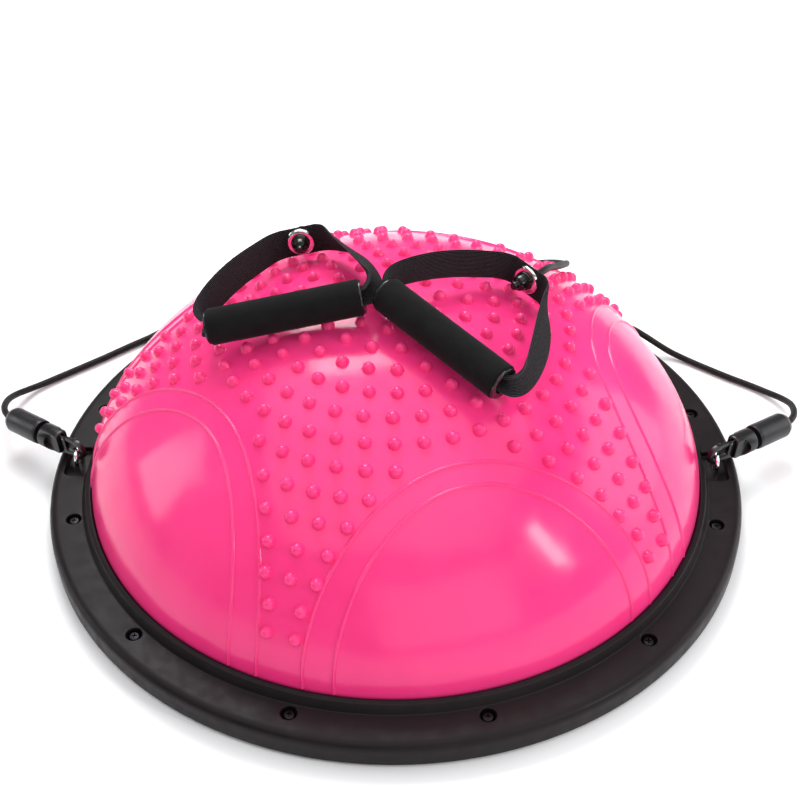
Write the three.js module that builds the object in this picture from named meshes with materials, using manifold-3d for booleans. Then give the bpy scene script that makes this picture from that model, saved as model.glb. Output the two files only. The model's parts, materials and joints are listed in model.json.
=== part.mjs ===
// Balance dome trainer: an inflated half dome clamped to a round base by a screwed ring, with two
// rubber cords. Each cord is held at one end by a snap hook on the rim, and at the other by a grip.
// Millimetres, +Z up. The origin is on the floor under the middle of the base.
import * as THREE from 'three';
import { mergeVertices } from 'three/addons/utils/BufferGeometryUtils.js';
import Module from 'manifold-3d';

const wasm = await Module();
wasm.setup();

// ---------- driving dimensions ----------
const GAP = 0.3; // between pieces that touch

const BASE_RADIUS = 290;
const RIM_TOP = 22.2;
const RIM_EDGE_RADIUS = 6;
const PLATE_TOP = 12;
const PLATE_RADIUS = 285.4;
const LIP_TOP = 30.2;

const DOME_RADIUS = 253.3;
const DOME_FOOT = 29.7; // height at which the dome leaves the ring's lip
const DOME_RISE = 161.6; // from there to its top
const DOME_SIDE_POWER = 2.16; // the dome is a superellipse turned about its axis
const DOME_CROWN_POWER = 1.7;
const SKIN = 3.2;
const FLANGE_RADIUS = 258;
const FLANGE_TOP = 16;

const VALVE_BORE = 4.5;
const VALVE_BOSS = 9;
const VALVE_WELL = 15;
const VALVE_BOSS_BOTTOM = 5;

const SCREW_COUNT = 12;
const SCREW_CIRCLE = 270;
const SCREW_FIRST_ANGLE = 15;
const SCREW_HEAD = 5.2;
const SCREW_SHANK = 2.2;
const COUNTERBORE = 6;
const COUNTERBORE_FLOOR = 17.2;

const EYE_RADIUS = 270; // distance of each eye from the middle of the base
const EYE_LEG = 8.5; // half the distance between its legs
const EYE_BAR = 36; // height of the bar that the hook hangs on
const EYE_BEND = 5.5;
const EYE_WIRE = 1.8;
const EYE_FOOT = 0.8;
const EYE_HOLE = 2.2;
const NUT_RADIUS = 4.6;
const NUT_HEIGHT = 3;
const NUT_WELL = 8;
const POCKET_FLOOR = 16.6;
const POCKET_HALF_WIDE = 10.5;
const POCKET_HALF_LONG = 18;
const POCKET_CORNER = 6;

const HOOK_REACH = 18; // from the bar to the hook's collar
const COLLAR_RADIUS = 10.4;
const COLLAR_END = 40;
const SLEEVE_START = 44;
const SLEEVE_END = 84;
const SLEEVE_RADIUS = 11;

const CORD_RADIUS = 2.9;

const GRIP_HALF = 58.5;
const GRIP_RADIUS = 14;
const CORE_RADIUS = 10.2;
const CORE_BORE = 8.2;
const WEB_WIDTH = 25;
const WEB_FOLDED = 13;
const WEB_THICK = 2.2;
const APEX = 112; // from the grip's axis to the grommet
const GROMMET_BORE = 5.4;
const GROMMET_FLANGE = 10.4;
const GROMMET_RISE = 2; // thickness of each of its flanges
const WEB_HOLE = 8.4;

// Each side's own lie on the object. Directions are turned square to each other by the code.
const SIDES = {
  left: {
    hook: { at: [-EYE_RADIUS, 0, EYE_BAR], along: [-0.812, 0.579, -0.083] },
    handle: {
      at: [-81.2, -30.8, 202.2],
      grip: [0.978, 0.06, 0.2015],
      pull: [-0.042, 0.995, -0.0925],
      shift: 8, // how far the cord has drawn the grommet along the grip
    },
    // from the sleeve along the floor, over the rim and up the back of the dome to the grommet
    cord: [
      [-338.4, 48.8, 29], [-343.8, 53.2, 28.3], [-349, 62, 26.7], [-352, 74, 23.6],
      [-352.5, 88, 18.6], [-349.8, 102, 12.6], [-344, 114.5, 7.4], [-335, 126, 4.2],
      [-322, 138, 3.2], [-304, 152.5, 3.2], [-285, 168, 3.2], [-262, 188, 3.2],
      [-240, 207, 3.2], [-225, 226, 3.2], [-215, 246, 3.2], [-206, 266, 3.2],
      [-195, 281, 3.2], [-180, 290, 3.2], [-164, 291, 3.2], [-151, 284, 5],
      [-142.5, 273, 11], [-137, 263, 19.5], [-132, 253, 27.5], [-126, 244, 33],
      [-121, 236, 43], [-117, 229, 59], [-112, 221, 80], [-105.5, 210, 101],
      [-98.5, 194, 121], [-93, 175, 138.5], [-88, 155, 153.5], [-84, 135, 169.5],
      [-81, 119, 181], [-79.4, 105, 189], [-78.6, 93.1, 192.3], [-78.2, 84.9, 193],
    ],
  },
  right: {
    hook: { at: [EYE_RADIUS, 0, EYE_BAR], along: [0.812, 0.579, -0.083] },
    handle: {
      at: [36.8, -64.6, 204.8],
      grip: [0.714, -0.678, -0.171],
      pull: [0.671, 0.733, -0.105],
      shift: -11.4,
    },
    cord: [
      [338.4, 48.8, 29], [343.8, 53.2, 28.3], [349.2, 62, 26.5], [352.5, 74, 23.4],
      [353.5, 88, 18.4], [352, 101, 12.4], [347.5, 113, 7.3], [339.5, 123.5, 4.2],
      [327, 134, 3.2], [309, 146, 3.2], [290, 160, 3.2], [273, 172.5, 3.7],
      [259, 180.5, 6.6], [247, 185.5, 12], [236, 189, 18], [224, 193, 23.6],
      [211, 198, 25.8], [178.7, 214.9, 25.9], [160.2, 229, 25.9], [140.6, 241.6, 25.9],
      [127.8, 246.3, 29.5], [117.8, 246.3, 37.4], [111, 243.4, 48.2], [108.6, 238.4, 59.9],
      [110, 229.6, 70.3], [123.4, 213.9, 84], [134.5, 196.5, 97], [142.9, 177.8, 109.5],
      [148.8, 158.6, 121], [147.5, 137, 135.8], [144.5, 121, 145.9], [140, 104.5, 155.8],
      [134.5, 87.5, 166], [128, 71, 176.2], [122.3, 55.5, 185.6], [117.5, 43, 191],
      [112, 34.2, 193.7], [106.4, 28.1, 194.6],
    ],
  },
};

function finish(color, roughness, metalness = 0) {
  return new THREE.MeshStandardMaterial({ color, roughness, metalness });
}

const FINISHES = {
  base: finish(0x2e282c, 0.5),
  dome: finish(0xfe4088, 0.28),
  plug: finish(0xd8d8d4, 0.45),
  screw: finish(0x26262a, 0.4, 0.6),
  chrome: finish(0xd9dadd, 0.12, 1),
  steel: finish(0x9a9da2, 0.35, 1),
  hook: finish(0x1e1c20, 0.35),
  sleeve: finish(0x35343a, 0.5),
  cord: finish(0x1f1c1d, 0.55),
  stopper: finish(0x141314, 0.25),
  webbing: finish(0x1b181b, 0.9),
  core: finish(0x161516, 0.2),
  foam: finish(0x201e1f, 0.95),
};

// ---------- shape helpers ----------
const radians = THREE.MathUtils.degToRad;
const vector = (values) => new THREE.Vector3(...values);

/** The geometry with shared corners merged, empty faces dropped and its faces turned outwards. */
function closed(geometry) {
  const bare = geometry.clone();
  bare.deleteAttribute('normal');
  bare.deleteAttribute('uv');
  const merged = mergeVertices(bare, 1e-4);
  const place = merged.attributes.position;
  const corners = merged.index.array;
  const kept = [];
  let volume = 0;
  for (let i = 0; i < corners.length; i += 3) {
    const [a, b, c] = [corners[i], corners[i + 1], corners[i + 2]];
    if (a === b || b === c || c === a) continue;
    kept.push(a, b, c);
    const [p, q, r] = [a, b, c].map((k) => new THREE.Vector3().fromBufferAttribute(place, k));
    volume += p.dot(q.cross(r));
  }
  if (volume < 0) kept.reverse();
  merged.setIndex(kept);
  return merged;
}

function solidOf(geometry) {
  const shape = closed(geometry);
  return new wasm.Manifold(new wasm.Mesh({
    numProp: 3,
    vertProperties: new Float32Array(shape.attributes.position.array),
    triVerts: new Uint32Array(shape.index.array),
  }));
}

function geometryOf(solid) {
  const mesh = solid.getMesh();
  const geometry = new THREE.BufferGeometry();
  geometry.setAttribute('position', new THREE.BufferAttribute(new Float32Array(mesh.vertProperties), 3));
  geometry.setIndex(new THREE.BufferAttribute(new Uint32Array(mesh.triVerts), 1));
  return geometry;
}

function cut(geometry, tools) {
  return geometryOf(tools.reduce((rest, tool) => rest.subtract(solidOf(tool)), solidOf(geometry)));
}

function join([first, ...others]) {
  return geometryOf(others.reduce((sum, piece) => sum.add(solidOf(piece)), solidOf(first)));
}

/** A profile of [radius, height] turned about Z. It starts and ends on the axis, or closes on itself. */
function turned(profile, segments) {
  const points = profile.map(([r, z]) => new THREE.Vector2(r, z));
  return closed(new THREE.LatheGeometry(points, segments).rotateX(Math.PI / 2));
}

/** A profile of [radius, distance] turned about X. */
const turnedAlongX = (profile, segments) => turned(profile, segments).rotateY(Math.PI / 2);

/** A round rod from low to high along Z. */
function rod(radius, low, high, sides, x = 0, y = 0) {
  const cylinder = new THREE.CylinderGeometry(radius, radius, high - low, sides).rotateX(Math.PI / 2);
  return cylinder.translate(x, y, (low + high) / 2);
}

function box(low, high) {
  const size = high.map((value, k) => value - low[k]);
  const middle = high.map((value, k) => (value + low[k]) / 2);
  return new THREE.BoxGeometry(...size).translate(...middle);
}

/** A round section of the given number of sides. */
function roundSection(radius, sides) {
  const corners = [];
  for (let k = 0; k < sides; k += 1) {
    const angle = (2 * Math.PI * k) / sides;
    corners.push(new THREE.Vector2(radius * Math.cos(angle), radius * Math.sin(angle)));
  }
  return new THREE.Shape(corners);
}

function tube(points, radius, sides, steps) {
  const path = new THREE.CatmullRomCurve3(points.map(vector), false, 'centripetal');
  const options = { steps, bevelEnabled: false, extrudePath: path };
  return closed(new THREE.ExtrudeGeometry(roundSection(radius, sides), options));
}

function part(name, geometry, material) {
  const mesh = new THREE.Mesh(geometry, material);
  mesh.name = name;
  return mesh;
}

// ---------- base and ring ----------
/** The [radius, height] points of the round edge from the wall to the top of the rim. */
function roundedEdge(radius, top, bend, steps) {
  const points = [];
  for (let k = 0; k <= steps; k += 1) {
    const angle = (Math.PI / 2) * (k / steps);
    points.push([radius - bend + bend * Math.cos(angle), top - bend + bend * Math.sin(angle)]);
  }
  return points;
}

function screwPlaces() {
  const places = [];
  for (let k = 0; k < SCREW_COUNT; k += 1) {
    const angle = radians(SCREW_FIRST_ANGLE + (360 / SCREW_COUNT) * k);
    places.push([SCREW_CIRCLE * Math.cos(angle), SCREW_CIRCLE * Math.sin(angle)]);
  }
  return places;
}

function eyeLegPlaces() {
  const places = [];
  for (const x of [-EYE_RADIUS, EYE_RADIUS]) {
    for (const y of [-EYE_LEG, EYE_LEG]) places.push([x, y]);
  }
  return places;
}

function basePlate() {
  const disc = turned([
    [VALVE_WELL, 0], [PLATE_RADIUS - 2, 0], [PLATE_RADIUS, 2], [PLATE_RADIUS, PLATE_TOP],
    [VALVE_WELL, PLATE_TOP], [VALVE_WELL, 0],
  ], 72);
  const holes = screwPlaces().map(([x, y]) => rod(SCREW_SHANK + GAP, 4, PLATE_TOP + 1, 8, x, y));
  for (const [x, y] of eyeLegPlaces()) {
    holes.push(rod(EYE_HOLE, -1, PLATE_TOP + 1, 8, x, y));
    holes.push(rod(NUT_WELL, -1, EYE_FOOT + NUT_HEIGHT + 1, 12, x, y));
  }
  return part('base_plate', cut(disc, holes), FINISHES.base);
}

/** The well in the top of the rim that an eye stands in. */
function eyePocket(x) {
  const across = POCKET_HALF_WIDE - POCKET_CORNER;
  const along = POCKET_HALF_LONG - POCKET_CORNER;
  const outline = new THREE.Shape();
  outline.moveTo(POCKET_HALF_WIDE, along);
  outline.absarc(across, along, POCKET_CORNER, 0, Math.PI / 2);
  outline.absarc(-across, along, POCKET_CORNER, Math.PI / 2, Math.PI);
  outline.absarc(-across, -along, POCKET_CORNER, Math.PI, 1.5 * Math.PI);
  outline.absarc(across, -along, POCKET_CORNER, 1.5 * Math.PI, 2 * Math.PI);
  const block = new THREE.ExtrudeGeometry(outline, { depth: 20, bevelEnabled: false, curveSegments: 4 });
  return block.translate(x, 0, POCKET_FLOOR);
}

function clampRing() {
  const skirt = BASE_RADIUS - 4;
  const ring = turned([
    [DOME_RADIUS + GAP, FLANGE_TOP + GAP],
    [FLANGE_RADIUS + GAP, FLANGE_TOP + GAP],
    [FLANGE_RADIUS + GAP, PLATE_TOP + GAP],
    [skirt, PLATE_TOP + GAP],
    [skirt, 2],
    [BASE_RADIUS - 1, 2],
    [BASE_RADIUS, 3],
    ...roundedEdge(BASE_RADIUS, RIM_TOP, RIM_EDGE_RADIUS, 4),
    [262.5, RIM_TOP],
    [260.6, RIM_TOP + 2],
    [259.4, LIP_TOP - 2],
    [257.2, LIP_TOP],
    [255, LIP_TOP],
    [DOME_RADIUS + GAP, LIP_TOP - 1.4],
    [DOME_RADIUS + GAP, FLANGE_TOP + GAP],
  ], 72);
  const tools = [-EYE_RADIUS, EYE_RADIUS].map(eyePocket);
  for (const [x, y] of screwPlaces()) {
    tools.push(rod(COUNTERBORE, COUNTERBORE_FLOOR, RIM_TOP + 5, 16, x, y));
    tools.push(rod(SCREW_SHANK + GAP, PLATE_TOP, COUNTERBORE_FLOOR + 1, 8, x, y));
  }
  for (const [x, y] of eyeLegPlaces()) {
    tools.push(rod(EYE_HOLE, PLATE_TOP, POCKET_FLOOR + 1, 8, x, y));
  }
  return part('clamp_ring', cut(ring, tools), FINISHES.base);
}

function clampScrews() {
  const seat = COUNTERBORE_FLOOR + GAP;
  const shape = turned([
    [0, 5], [SCREW_SHANK, 6], [SCREW_SHANK, seat], [SCREW_HEAD, seat],
    [SCREW_HEAD, seat + 1.6], [3.4, seat + 3], [0, seat + 3.4],
  ], 10);
  return screwPlaces().map(([x, y], k) => {
    const screw = part(`clamp_screw_${String(k + 1).padStart(2, '0')}`, shape, FINISHES.screw);
    screw.position.set(x, y, 0);
    return screw;
  });
}

// ---------- dome ----------
/** The dome's [radius, height] points from its top down to its foot, drawn in by inset. */
function domeProfile(inset, steps) {
  const points = [];
  for (let k = 0; k <= steps; k += 1) {
    const angle = (Math.PI / 2) * (1 - k / steps);
    const r = (DOME_RADIUS - inset) * Math.max(0, Math.cos(angle)) ** (2 / DOME_SIDE_POWER);
    const z = DOME_FOOT + (DOME_RISE - inset) * Math.sin(angle) ** (2 / DOME_CROWN_POWER);
    points.push([k === 0 ? 0 : r, z]);
  }
  return points;
}

function domeBladder() {
  const floor = PLATE_TOP + GAP;
  const shell = turned([
    ...domeProfile(0, 15),
    [DOME_RADIUS, FLANGE_TOP],
    [FLANGE_RADIUS, FLANGE_TOP],
    [FLANGE_RADIUS, floor],
    [VALVE_BOSS, floor],
    [VALVE_BOSS, VALVE_BOSS_BOTTOM],
    [VALVE_BORE, VALVE_BOSS_BOTTOM],
    [VALVE_BORE, floor + SKIN],
    [DOME_RADIUS - SKIN, floor + SKIN],
    ...domeProfile(SKIN, 10).reverse(),
  ], 56);
  return part('dome_bladder', shell, FINISHES.dome);
}

/** The air plug, with its flange under the boss and a stem that seals the bore. */
function valvePlug() {
  const flangeTop = VALVE_BOSS_BOTTOM - GAP;
  const shape = turned([
    [0, 1.6], [8, 1.6], [8.6, 2.2], [8.6, flangeTop], [VALVE_BORE - GAP, flangeTop],
    [VALVE_BORE - GAP, 16], [3, 19], [0, 19.4],
  ], 20);
  return part('valve_plug', shape, FINISHES.plug);
}

// ---------- eyes ----------
/** The centre line of the wire, up one leg, over the bar and down the other leg. */
function eyePath() {
  const leg = [EYE_FOOT, 10, 20, EYE_BAR - EYE_BEND - 3];
  const points = leg.map((z) => [0, -EYE_LEG, z]);
  for (const side of [-1, 1]) {
    for (let k = 0; k <= 4; k += 1) {
      const turn = (Math.PI / 8) * (side < 0 ? k : 4 - k);
      const y = side * (EYE_LEG - EYE_BEND + EYE_BEND * Math.cos(turn));
      points.push([0, y, EYE_BAR - EYE_BEND + EYE_BEND * Math.sin(turn)]);
    }
  }
  return [...points, ...leg.reverse().map((z) => [0, EYE_LEG, z])];
}

function eyeAndNuts(side, x) {
  const eye = part(`cord_eye_${side}`, tube(eyePath(), EYE_WIRE, 8, 40), FINISHES.chrome);
  eye.position.x = x;
  const hexagon = roundSection(NUT_RADIUS, 6);
  hexagon.holes.push(roundSection(EYE_WIRE + GAP, 8));
  const nutShape = closed(new THREE.ExtrudeGeometry(hexagon, { depth: NUT_HEIGHT, bevelEnabled: false }));
  const nuts = [['front', -EYE_LEG], ['back', EYE_LEG]].map(([end, y]) => {
    const nut = part(`eye_nut_${side}_${end}`, nutShape, FINISHES.steel);
    nut.position.set(x, y, EYE_FOOT + GAP);
    return nut;
  });
  return [eye, ...nuts];
}

// ---------- snap hook: X runs along the hook towards the cord, Z up across the loop ----------
const LOOP_HALF = 8;
const LOOP_HOLE = 4.2;
const LOOP_NOSE = 0.1; // centre of the loop's round end, which leaves room for the slanting bar
const LOOP_THICK = 2.2;
const GATE_START = 4.8;
const GATE_PIN_X = 15;
const GATE_PIN_Z = 6;
const GATE_HALF = 1.3;
const PIN_RADIUS = 0.8;
const FLAT = 5.6; // distance of the collar's two flats from its axis
const NECK = 3;
const SWIVEL_HEAD = 5.2;

function gatePinRod(radius, half) {
  return rod(radius, -half, half, 8).rotateX(Math.PI / 2).translate(GATE_PIN_X, 0, GATE_PIN_Z);
}

/** An outline in the hook's X and Z, made half as thick on each side of its middle plane. */
function slab(outline, half, curveSegments) {
  const block = new THREE.ExtrudeGeometry(outline, { depth: 2 * half, bevelEnabled: false, curveSegments });
  return block.translate(0, 0, -half).rotateX(Math.PI / 2);
}

function hookBody() {
  const loop = new THREE.Shape();
  loop.moveTo(HOOK_REACH + 2, -LOOP_HALF);
  loop.lineTo(HOOK_REACH + 2, LOOP_HALF);
  loop.lineTo(LOOP_NOSE, LOOP_HALF);
  loop.absarc(LOOP_NOSE, 0, LOOP_HALF, Math.PI / 2, 1.5 * Math.PI);
  const hole = new THREE.Path();
  hole.moveTo(GATE_PIN_X, -LOOP_HOLE);
  hole.lineTo(GATE_PIN_X, LOOP_HOLE);
  hole.lineTo(LOOP_NOSE, LOOP_HOLE);
  hole.absarc(LOOP_NOSE, 0, LOOP_HOLE, Math.PI / 2, 1.5 * Math.PI);
  loop.holes.push(hole);
  const plate = slab(loop, LOOP_THICK, 10);
  // collar, swivel neck and the head that the sleeve turns on
  const collar = turnedAlongX([
    [0, HOOK_REACH], [8.6, HOOK_REACH], [COLLAR_RADIUS, HOOK_REACH + 2.4], [COLLAR_RADIUS, COLLAR_END - 1],
    [COLLAR_RADIUS - 1, COLLAR_END], [NECK, COLLAR_END], [NECK, SLEEVE_START + 4.4],
    [SWIVEL_HEAD, SLEEVE_START + 4.4], [SWIVEL_HEAD, SLEEVE_START + 7.5], [0, SLEEVE_START + 8],
  ], 20);
  const opening = box([GATE_START - 1.2, -4, LOOP_HOLE - 0.6], [HOOK_REACH - 5, 4, LOOP_HALF + 1]);
  const slot = box([HOOK_REACH - 6, -GATE_HALF - GAP, -1], [HOOK_REACH, GATE_HALF + GAP, LOOP_HALF + 1]);
  const shoulders = [[-12, -FLAT], [FLAT, 12]].map(([low, high]) => (
    box([HOOK_REACH - 1, low, -12], [HOOK_REACH + 6, high, 12])
  ));
  return cut(join([plate, collar]), [opening, slot, gatePinRod(PIN_RADIUS + GAP, 5), ...shoulders]);
}

/** The sprung gate that closes the loop. It turns into the loop about its pin. */
function hookGate() {
  const bar = new THREE.Shape();
  bar.moveTo(GATE_START - 0.6, LOOP_HOLE);
  bar.lineTo(GATE_PIN_X - 1.2, LOOP_HOLE);
  bar.absarc(GATE_PIN_X, GATE_PIN_Z, 1.8, -0.75 * Math.PI, 0.5 * Math.PI);
  bar.lineTo(GATE_START - 0.6, LOOP_HALF - 0.2);
  return cut(slab(bar, GATE_HALF, 5), [gatePinRod(PIN_RADIUS + GAP, 5)]);
}

function cordSleeve() {
  const [collar, chamber] = [NECK + GAP, SWIVEL_HEAD + 0.4];
  return turnedAlongX([
    [collar, SLEEVE_START], [SLEEVE_RADIUS - 0.8, SLEEVE_START], [SLEEVE_RADIUS, SLEEVE_START + 0.8],
    [SLEEVE_RADIUS, SLEEVE_END - 3.4], [SLEEVE_RADIUS - 1.2, SLEEVE_END - 1.2],
    [SLEEVE_RADIUS - 4, SLEEVE_END], [0, SLEEVE_END], [0, SLEEVE_START + 12],
    [chamber, SLEEVE_START + 12], [chamber, SLEEVE_START + 4], [collar, SLEEVE_START + 4],
    [collar, SLEEVE_START],
  ], 24);
}

function snapHook(side, lie) {
  const group = new THREE.Group();
  const along = vector(lie.along).normalize();
  const across = new THREE.Vector3(0, 0, 1).cross(along).normalize();
  const up = along.clone().cross(across);
  group.setRotationFromMatrix(new THREE.Matrix4().makeBasis(along, across, up));
  group.position.set(...lie.at);
  group.add(
    part(`hook_${side}`, hookBody(), FINISHES.hook),
    part(`hook_gate_${side}`, hookGate(), FINISHES.hook),
    part(`gate_pin_${side}`, closed(gatePinRod(PIN_RADIUS, 2.6)), FINISHES.steel),
    part(`cord_sleeve_${side}`, cordSleeve(), FINISHES.sleeve),
  );
  return group;
}

// ---------- handle: X runs along the grip, Y towards the grommet, Z off the dome ----------
/** The webbing's centre line, once round from the middle of the grip, with the width at each point. */
function webbingLine(shift) {
  const half = [
    [0, 0, 0, WEB_FOLDED], [25, 0, 0, WEB_FOLDED], [52, 0, 0, WEB_FOLDED], [60.5, 0.4, 0, WEB_FOLDED],
    [65, 4.5, 0.5, 16], [67.5, 12, 1.2, 21], [66.5, 24, 2.4, WEB_WIDTH], [59, 45, 4.2, WEB_WIDTH],
    [46, 70, 4.6, WEB_WIDTH], [32, 93, 2.6, WEB_WIDTH], [22.5, 106.5, 1, WEB_WIDTH],
  ];
  const lean = ([x, y, z, wide], turn) => [turn * x + shift * (y / APEX), y, z, wide];
  const right = half.map((point) => lean(point, 1));
  const left = half.slice(1).map((point) => lean(point, -1)).reverse();
  const top = [14.5, 11, 0, -11, -14.5].map((x) => [x + shift, APEX, 0, WEB_WIDTH]);
  return [...right, ...top, ...left];
}

/** A closed flat band that stands on its edge along the line. */
function band(line, thick, steps) {
  const places = line.map(([x, y, z]) => new THREE.Vector3(x, y, z));
  const path = new THREE.CatmullRomCurve3(places, true, 'centripetal');
  const widths = new THREE.CatmullRomCurve3(line.map(([, , , wide]) => new THREE.Vector3(wide, 0, 0)), true);
  const corners = [];
  const faces = [];
  for (let k = 0; k < steps; k += 1) {
    const t = k / steps;
    const middle = path.getPoint(t);
    const forward = path.getTangent(t);
    const out = new THREE.Vector3(forward.y, -forward.x, 0).normalize().multiplyScalar(thick / 2);
    const rise = Math.min(WEB_WIDTH, Math.max(WEB_FOLDED, widths.getPoint(t).x)) / 2;
    for (const [a, b] of [[1, 1], [-1, 1], [-1, -1], [1, -1]]) {
      corners.push(middle.x + a * out.x, middle.y + a * out.y, middle.z + b * rise);
    }
    for (let c = 0; c < 4; c += 1) {
      const [p, q] = [4 * k + c, 4 * k + ((c + 1) % 4)];
      const [r, s] = [(p + 4) % (4 * steps), (q + 4) % (4 * steps)];
      faces.push(p, q, s, p, s, r);
    }
  }
  const geometry = new THREE.BufferGeometry();
  geometry.setAttribute('position', new THREE.Float32BufferAttribute(corners, 3));
  geometry.setIndex(faces);
  return closed(geometry);
}

function webbing(shift) {
  const hole = rod(WEB_HOLE, APEX - 4, APEX + 4, 12).rotateX(-Math.PI / 2).translate(shift, 0, 0);
  return cut(band(webbingLine(shift), WEB_THICK, 72), [hole]);
}

/** A profile of [radius, distance from the webbing towards the cord] about the grommet's own axis. */
function onGrommetAxis(profile, segments, shift) {
  return turned(profile, segments).rotateX(-Math.PI / 2).translate(shift, APEX, 0);
}

function grommet(shift) {
  const face = WEB_THICK / 2 + GAP;
  const barrel = GROMMET_BORE + 2;
  return onGrommetAxis([
    [GROMMET_BORE, -face - 1.2], [barrel - 0.4, -face - GROMMET_RISE], [GROMMET_FLANGE - 1, -face - 1.6],
    [GROMMET_FLANGE, -face], [barrel, -face], [barrel, face], [GROMMET_FLANGE, face],
    [GROMMET_FLANGE - 1, face + 1.6], [barrel - 0.4, face + GROMMET_RISE], [GROMMET_BORE, face + 1.2],
    [GROMMET_BORE, -face - 1.2],
  ], 20, shift);
}

/** The plug that stops the cord from pulling out through the grommet. */
function stopper(shift) {
  const seat = -WEB_THICK / 2 - 2 * GAP - GROMMET_RISE;
  return onGrommetAxis([
    [0, seat - 14], [2.6, seat - 14], [3.4, seat - 13.2], [3.4, seat - 9.4], [5, seat - 9], [6.4, seat - 7.6],
    [6.4, seat - 2.4], [7.6, seat - 1.8], [7.6, seat], [CORD_RADIUS, seat], [CORD_RADIUS, 3.4], [0, 3.4],
  ], 16, shift);
}

function coreTube() {
  const [near, far, lip] = [GRIP_HALF + GAP, GRIP_HALF + 2, GRIP_RADIUS - 1.2];
  return turnedAlongX([
    [CORE_BORE, -far], [lip, -far], [lip, -near], [CORE_RADIUS, -near],
    [CORE_RADIUS, near], [lip, near], [lip, far], [CORE_BORE, far], [CORE_BORE, -far],
  ], 20);
}

function foamGrip() {
  const inner = CORE_RADIUS + GAP;
  return turnedAlongX([
    [inner, -GRIP_HALF], [GRIP_RADIUS - 1, -GRIP_HALF], [GRIP_RADIUS, 1 - GRIP_HALF],
    [GRIP_RADIUS, GRIP_HALF - 1], [GRIP_RADIUS - 1, GRIP_HALF], [inner, GRIP_HALF], [inner, -GRIP_HALF],
  ], 24);
}

function handle(side, lie) {
  const group = new THREE.Group();
  const along = vector(lie.grip).normalize();
  const off = along.clone().cross(vector(lie.pull)).normalize();
  const pull = off.clone().cross(along);
  group.setRotationFromMatrix(new THREE.Matrix4().makeBasis(along, pull, off));
  group.position.set(...lie.at);
  group.add(
    part(`core_tube_${side}`, coreTube(), FINISHES.core),
    part(`foam_grip_${side}`, foamGrip(), FINISHES.foam),
    part(`webbing_${side}`, webbing(lie.shift), FINISHES.webbing),
    part(`grommet_${side}`, grommet(lie.shift), FINISHES.chrome),
    part(`cord_stopper_${side}`, stopper(lie.shift), FINISHES.stopper),
  );
  return group;
}

const cord = (side, points) => part(`cord_${side}`, tube(points, CORD_RADIUS, 8, 64), FINISHES.cord);

// ---------- the whole object ----------
const trainer = new THREE.Group();
trainer.add(basePlate(), clampRing(), domeBladder(), valvePlug(), ...clampScrews());
for (const [side, lie] of Object.entries(SIDES)) {
  trainer.add(...eyeAndNuts(side, lie.hook.at[0]));
  trainer.add(snapHook(side, lie.hook), cord(side, lie.cord), handle(side, lie.handle));
}

export default trainer;
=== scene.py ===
"""Looks of a balance dome trainer: an inflated dome on a round base, with two cords and two grips.

Metres, in the frame's own axes: +Z up, the origin on the floor under the middle of the base.
"""
from __future__ import annotations

import json
import logging
import math
from dataclasses import dataclass, field
from enum import Enum
from typing import Callable, Iterable, Sequence

import bmesh
import bpy
import numpy as np
from mathutils import Matrix, Vector, noise


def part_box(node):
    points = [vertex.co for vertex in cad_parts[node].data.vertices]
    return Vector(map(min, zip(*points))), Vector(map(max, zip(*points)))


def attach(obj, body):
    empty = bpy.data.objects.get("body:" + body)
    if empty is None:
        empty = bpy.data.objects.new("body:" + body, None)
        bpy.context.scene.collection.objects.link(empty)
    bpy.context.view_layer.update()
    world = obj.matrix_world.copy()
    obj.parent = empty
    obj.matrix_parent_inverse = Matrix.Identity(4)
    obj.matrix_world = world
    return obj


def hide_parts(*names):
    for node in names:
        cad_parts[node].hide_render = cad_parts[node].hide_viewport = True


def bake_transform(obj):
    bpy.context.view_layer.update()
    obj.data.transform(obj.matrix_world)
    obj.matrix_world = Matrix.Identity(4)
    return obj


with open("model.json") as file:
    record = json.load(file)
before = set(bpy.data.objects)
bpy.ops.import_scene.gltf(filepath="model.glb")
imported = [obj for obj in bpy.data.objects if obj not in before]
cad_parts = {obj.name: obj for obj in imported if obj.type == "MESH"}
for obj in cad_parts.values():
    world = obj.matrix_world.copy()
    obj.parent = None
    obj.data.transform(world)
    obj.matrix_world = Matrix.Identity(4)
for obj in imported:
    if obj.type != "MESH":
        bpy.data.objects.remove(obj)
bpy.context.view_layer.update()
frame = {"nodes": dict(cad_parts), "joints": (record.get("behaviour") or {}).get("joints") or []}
LOG = logging.getLogger("balance_dome")
MM = 0.001
MERGE = 1e-7  # corners closer than this are one corner
RECORD_JOINTS = {joint["name"]: joint for joint in frame["joints"]}


class Side(Enum):
    """The two cords and grips."""

    LEFT = "left"
    RIGHT = "right"


class Slot(Enum):
    """Material slots of the record."""

    BASE = "base_plastic"
    DOME = "dome_pvc"
    PLUG = "plug_plastic"
    SCREW = "screw_steel"
    EYE = "eye_chrome"
    NUT = "nut_steel"
    HOOK = "hook_plastic"
    SLEEVE = "sleeve_plastic"
    CORD = "cord_rubber"
    STOPPER = "stopper_plastic"
    WEBBING = "webbing_nylon"
    GROMMET = "grommet_chrome"
    CORE = "core_plastic"
    FOAM = "grip_foam"


# ---------- materials ----------
def linear(code: str) -> tuple[float, float, float, float]:
    """Turn an sRGB hex colour into linear RGBA.

    Args:
        code: Six hex digits.

    Returns:
        Linear red, green and blue, and an alpha of one.
    """
    values = [int(code[k:k + 2], 16) / 255 for k in (0, 2, 4)]
    flat = [v / 12.92 if v <= 0.04045 else ((v + 0.055) / 1.055) ** 2.4 for v in values]
    return (*flat, 1.0)


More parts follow.
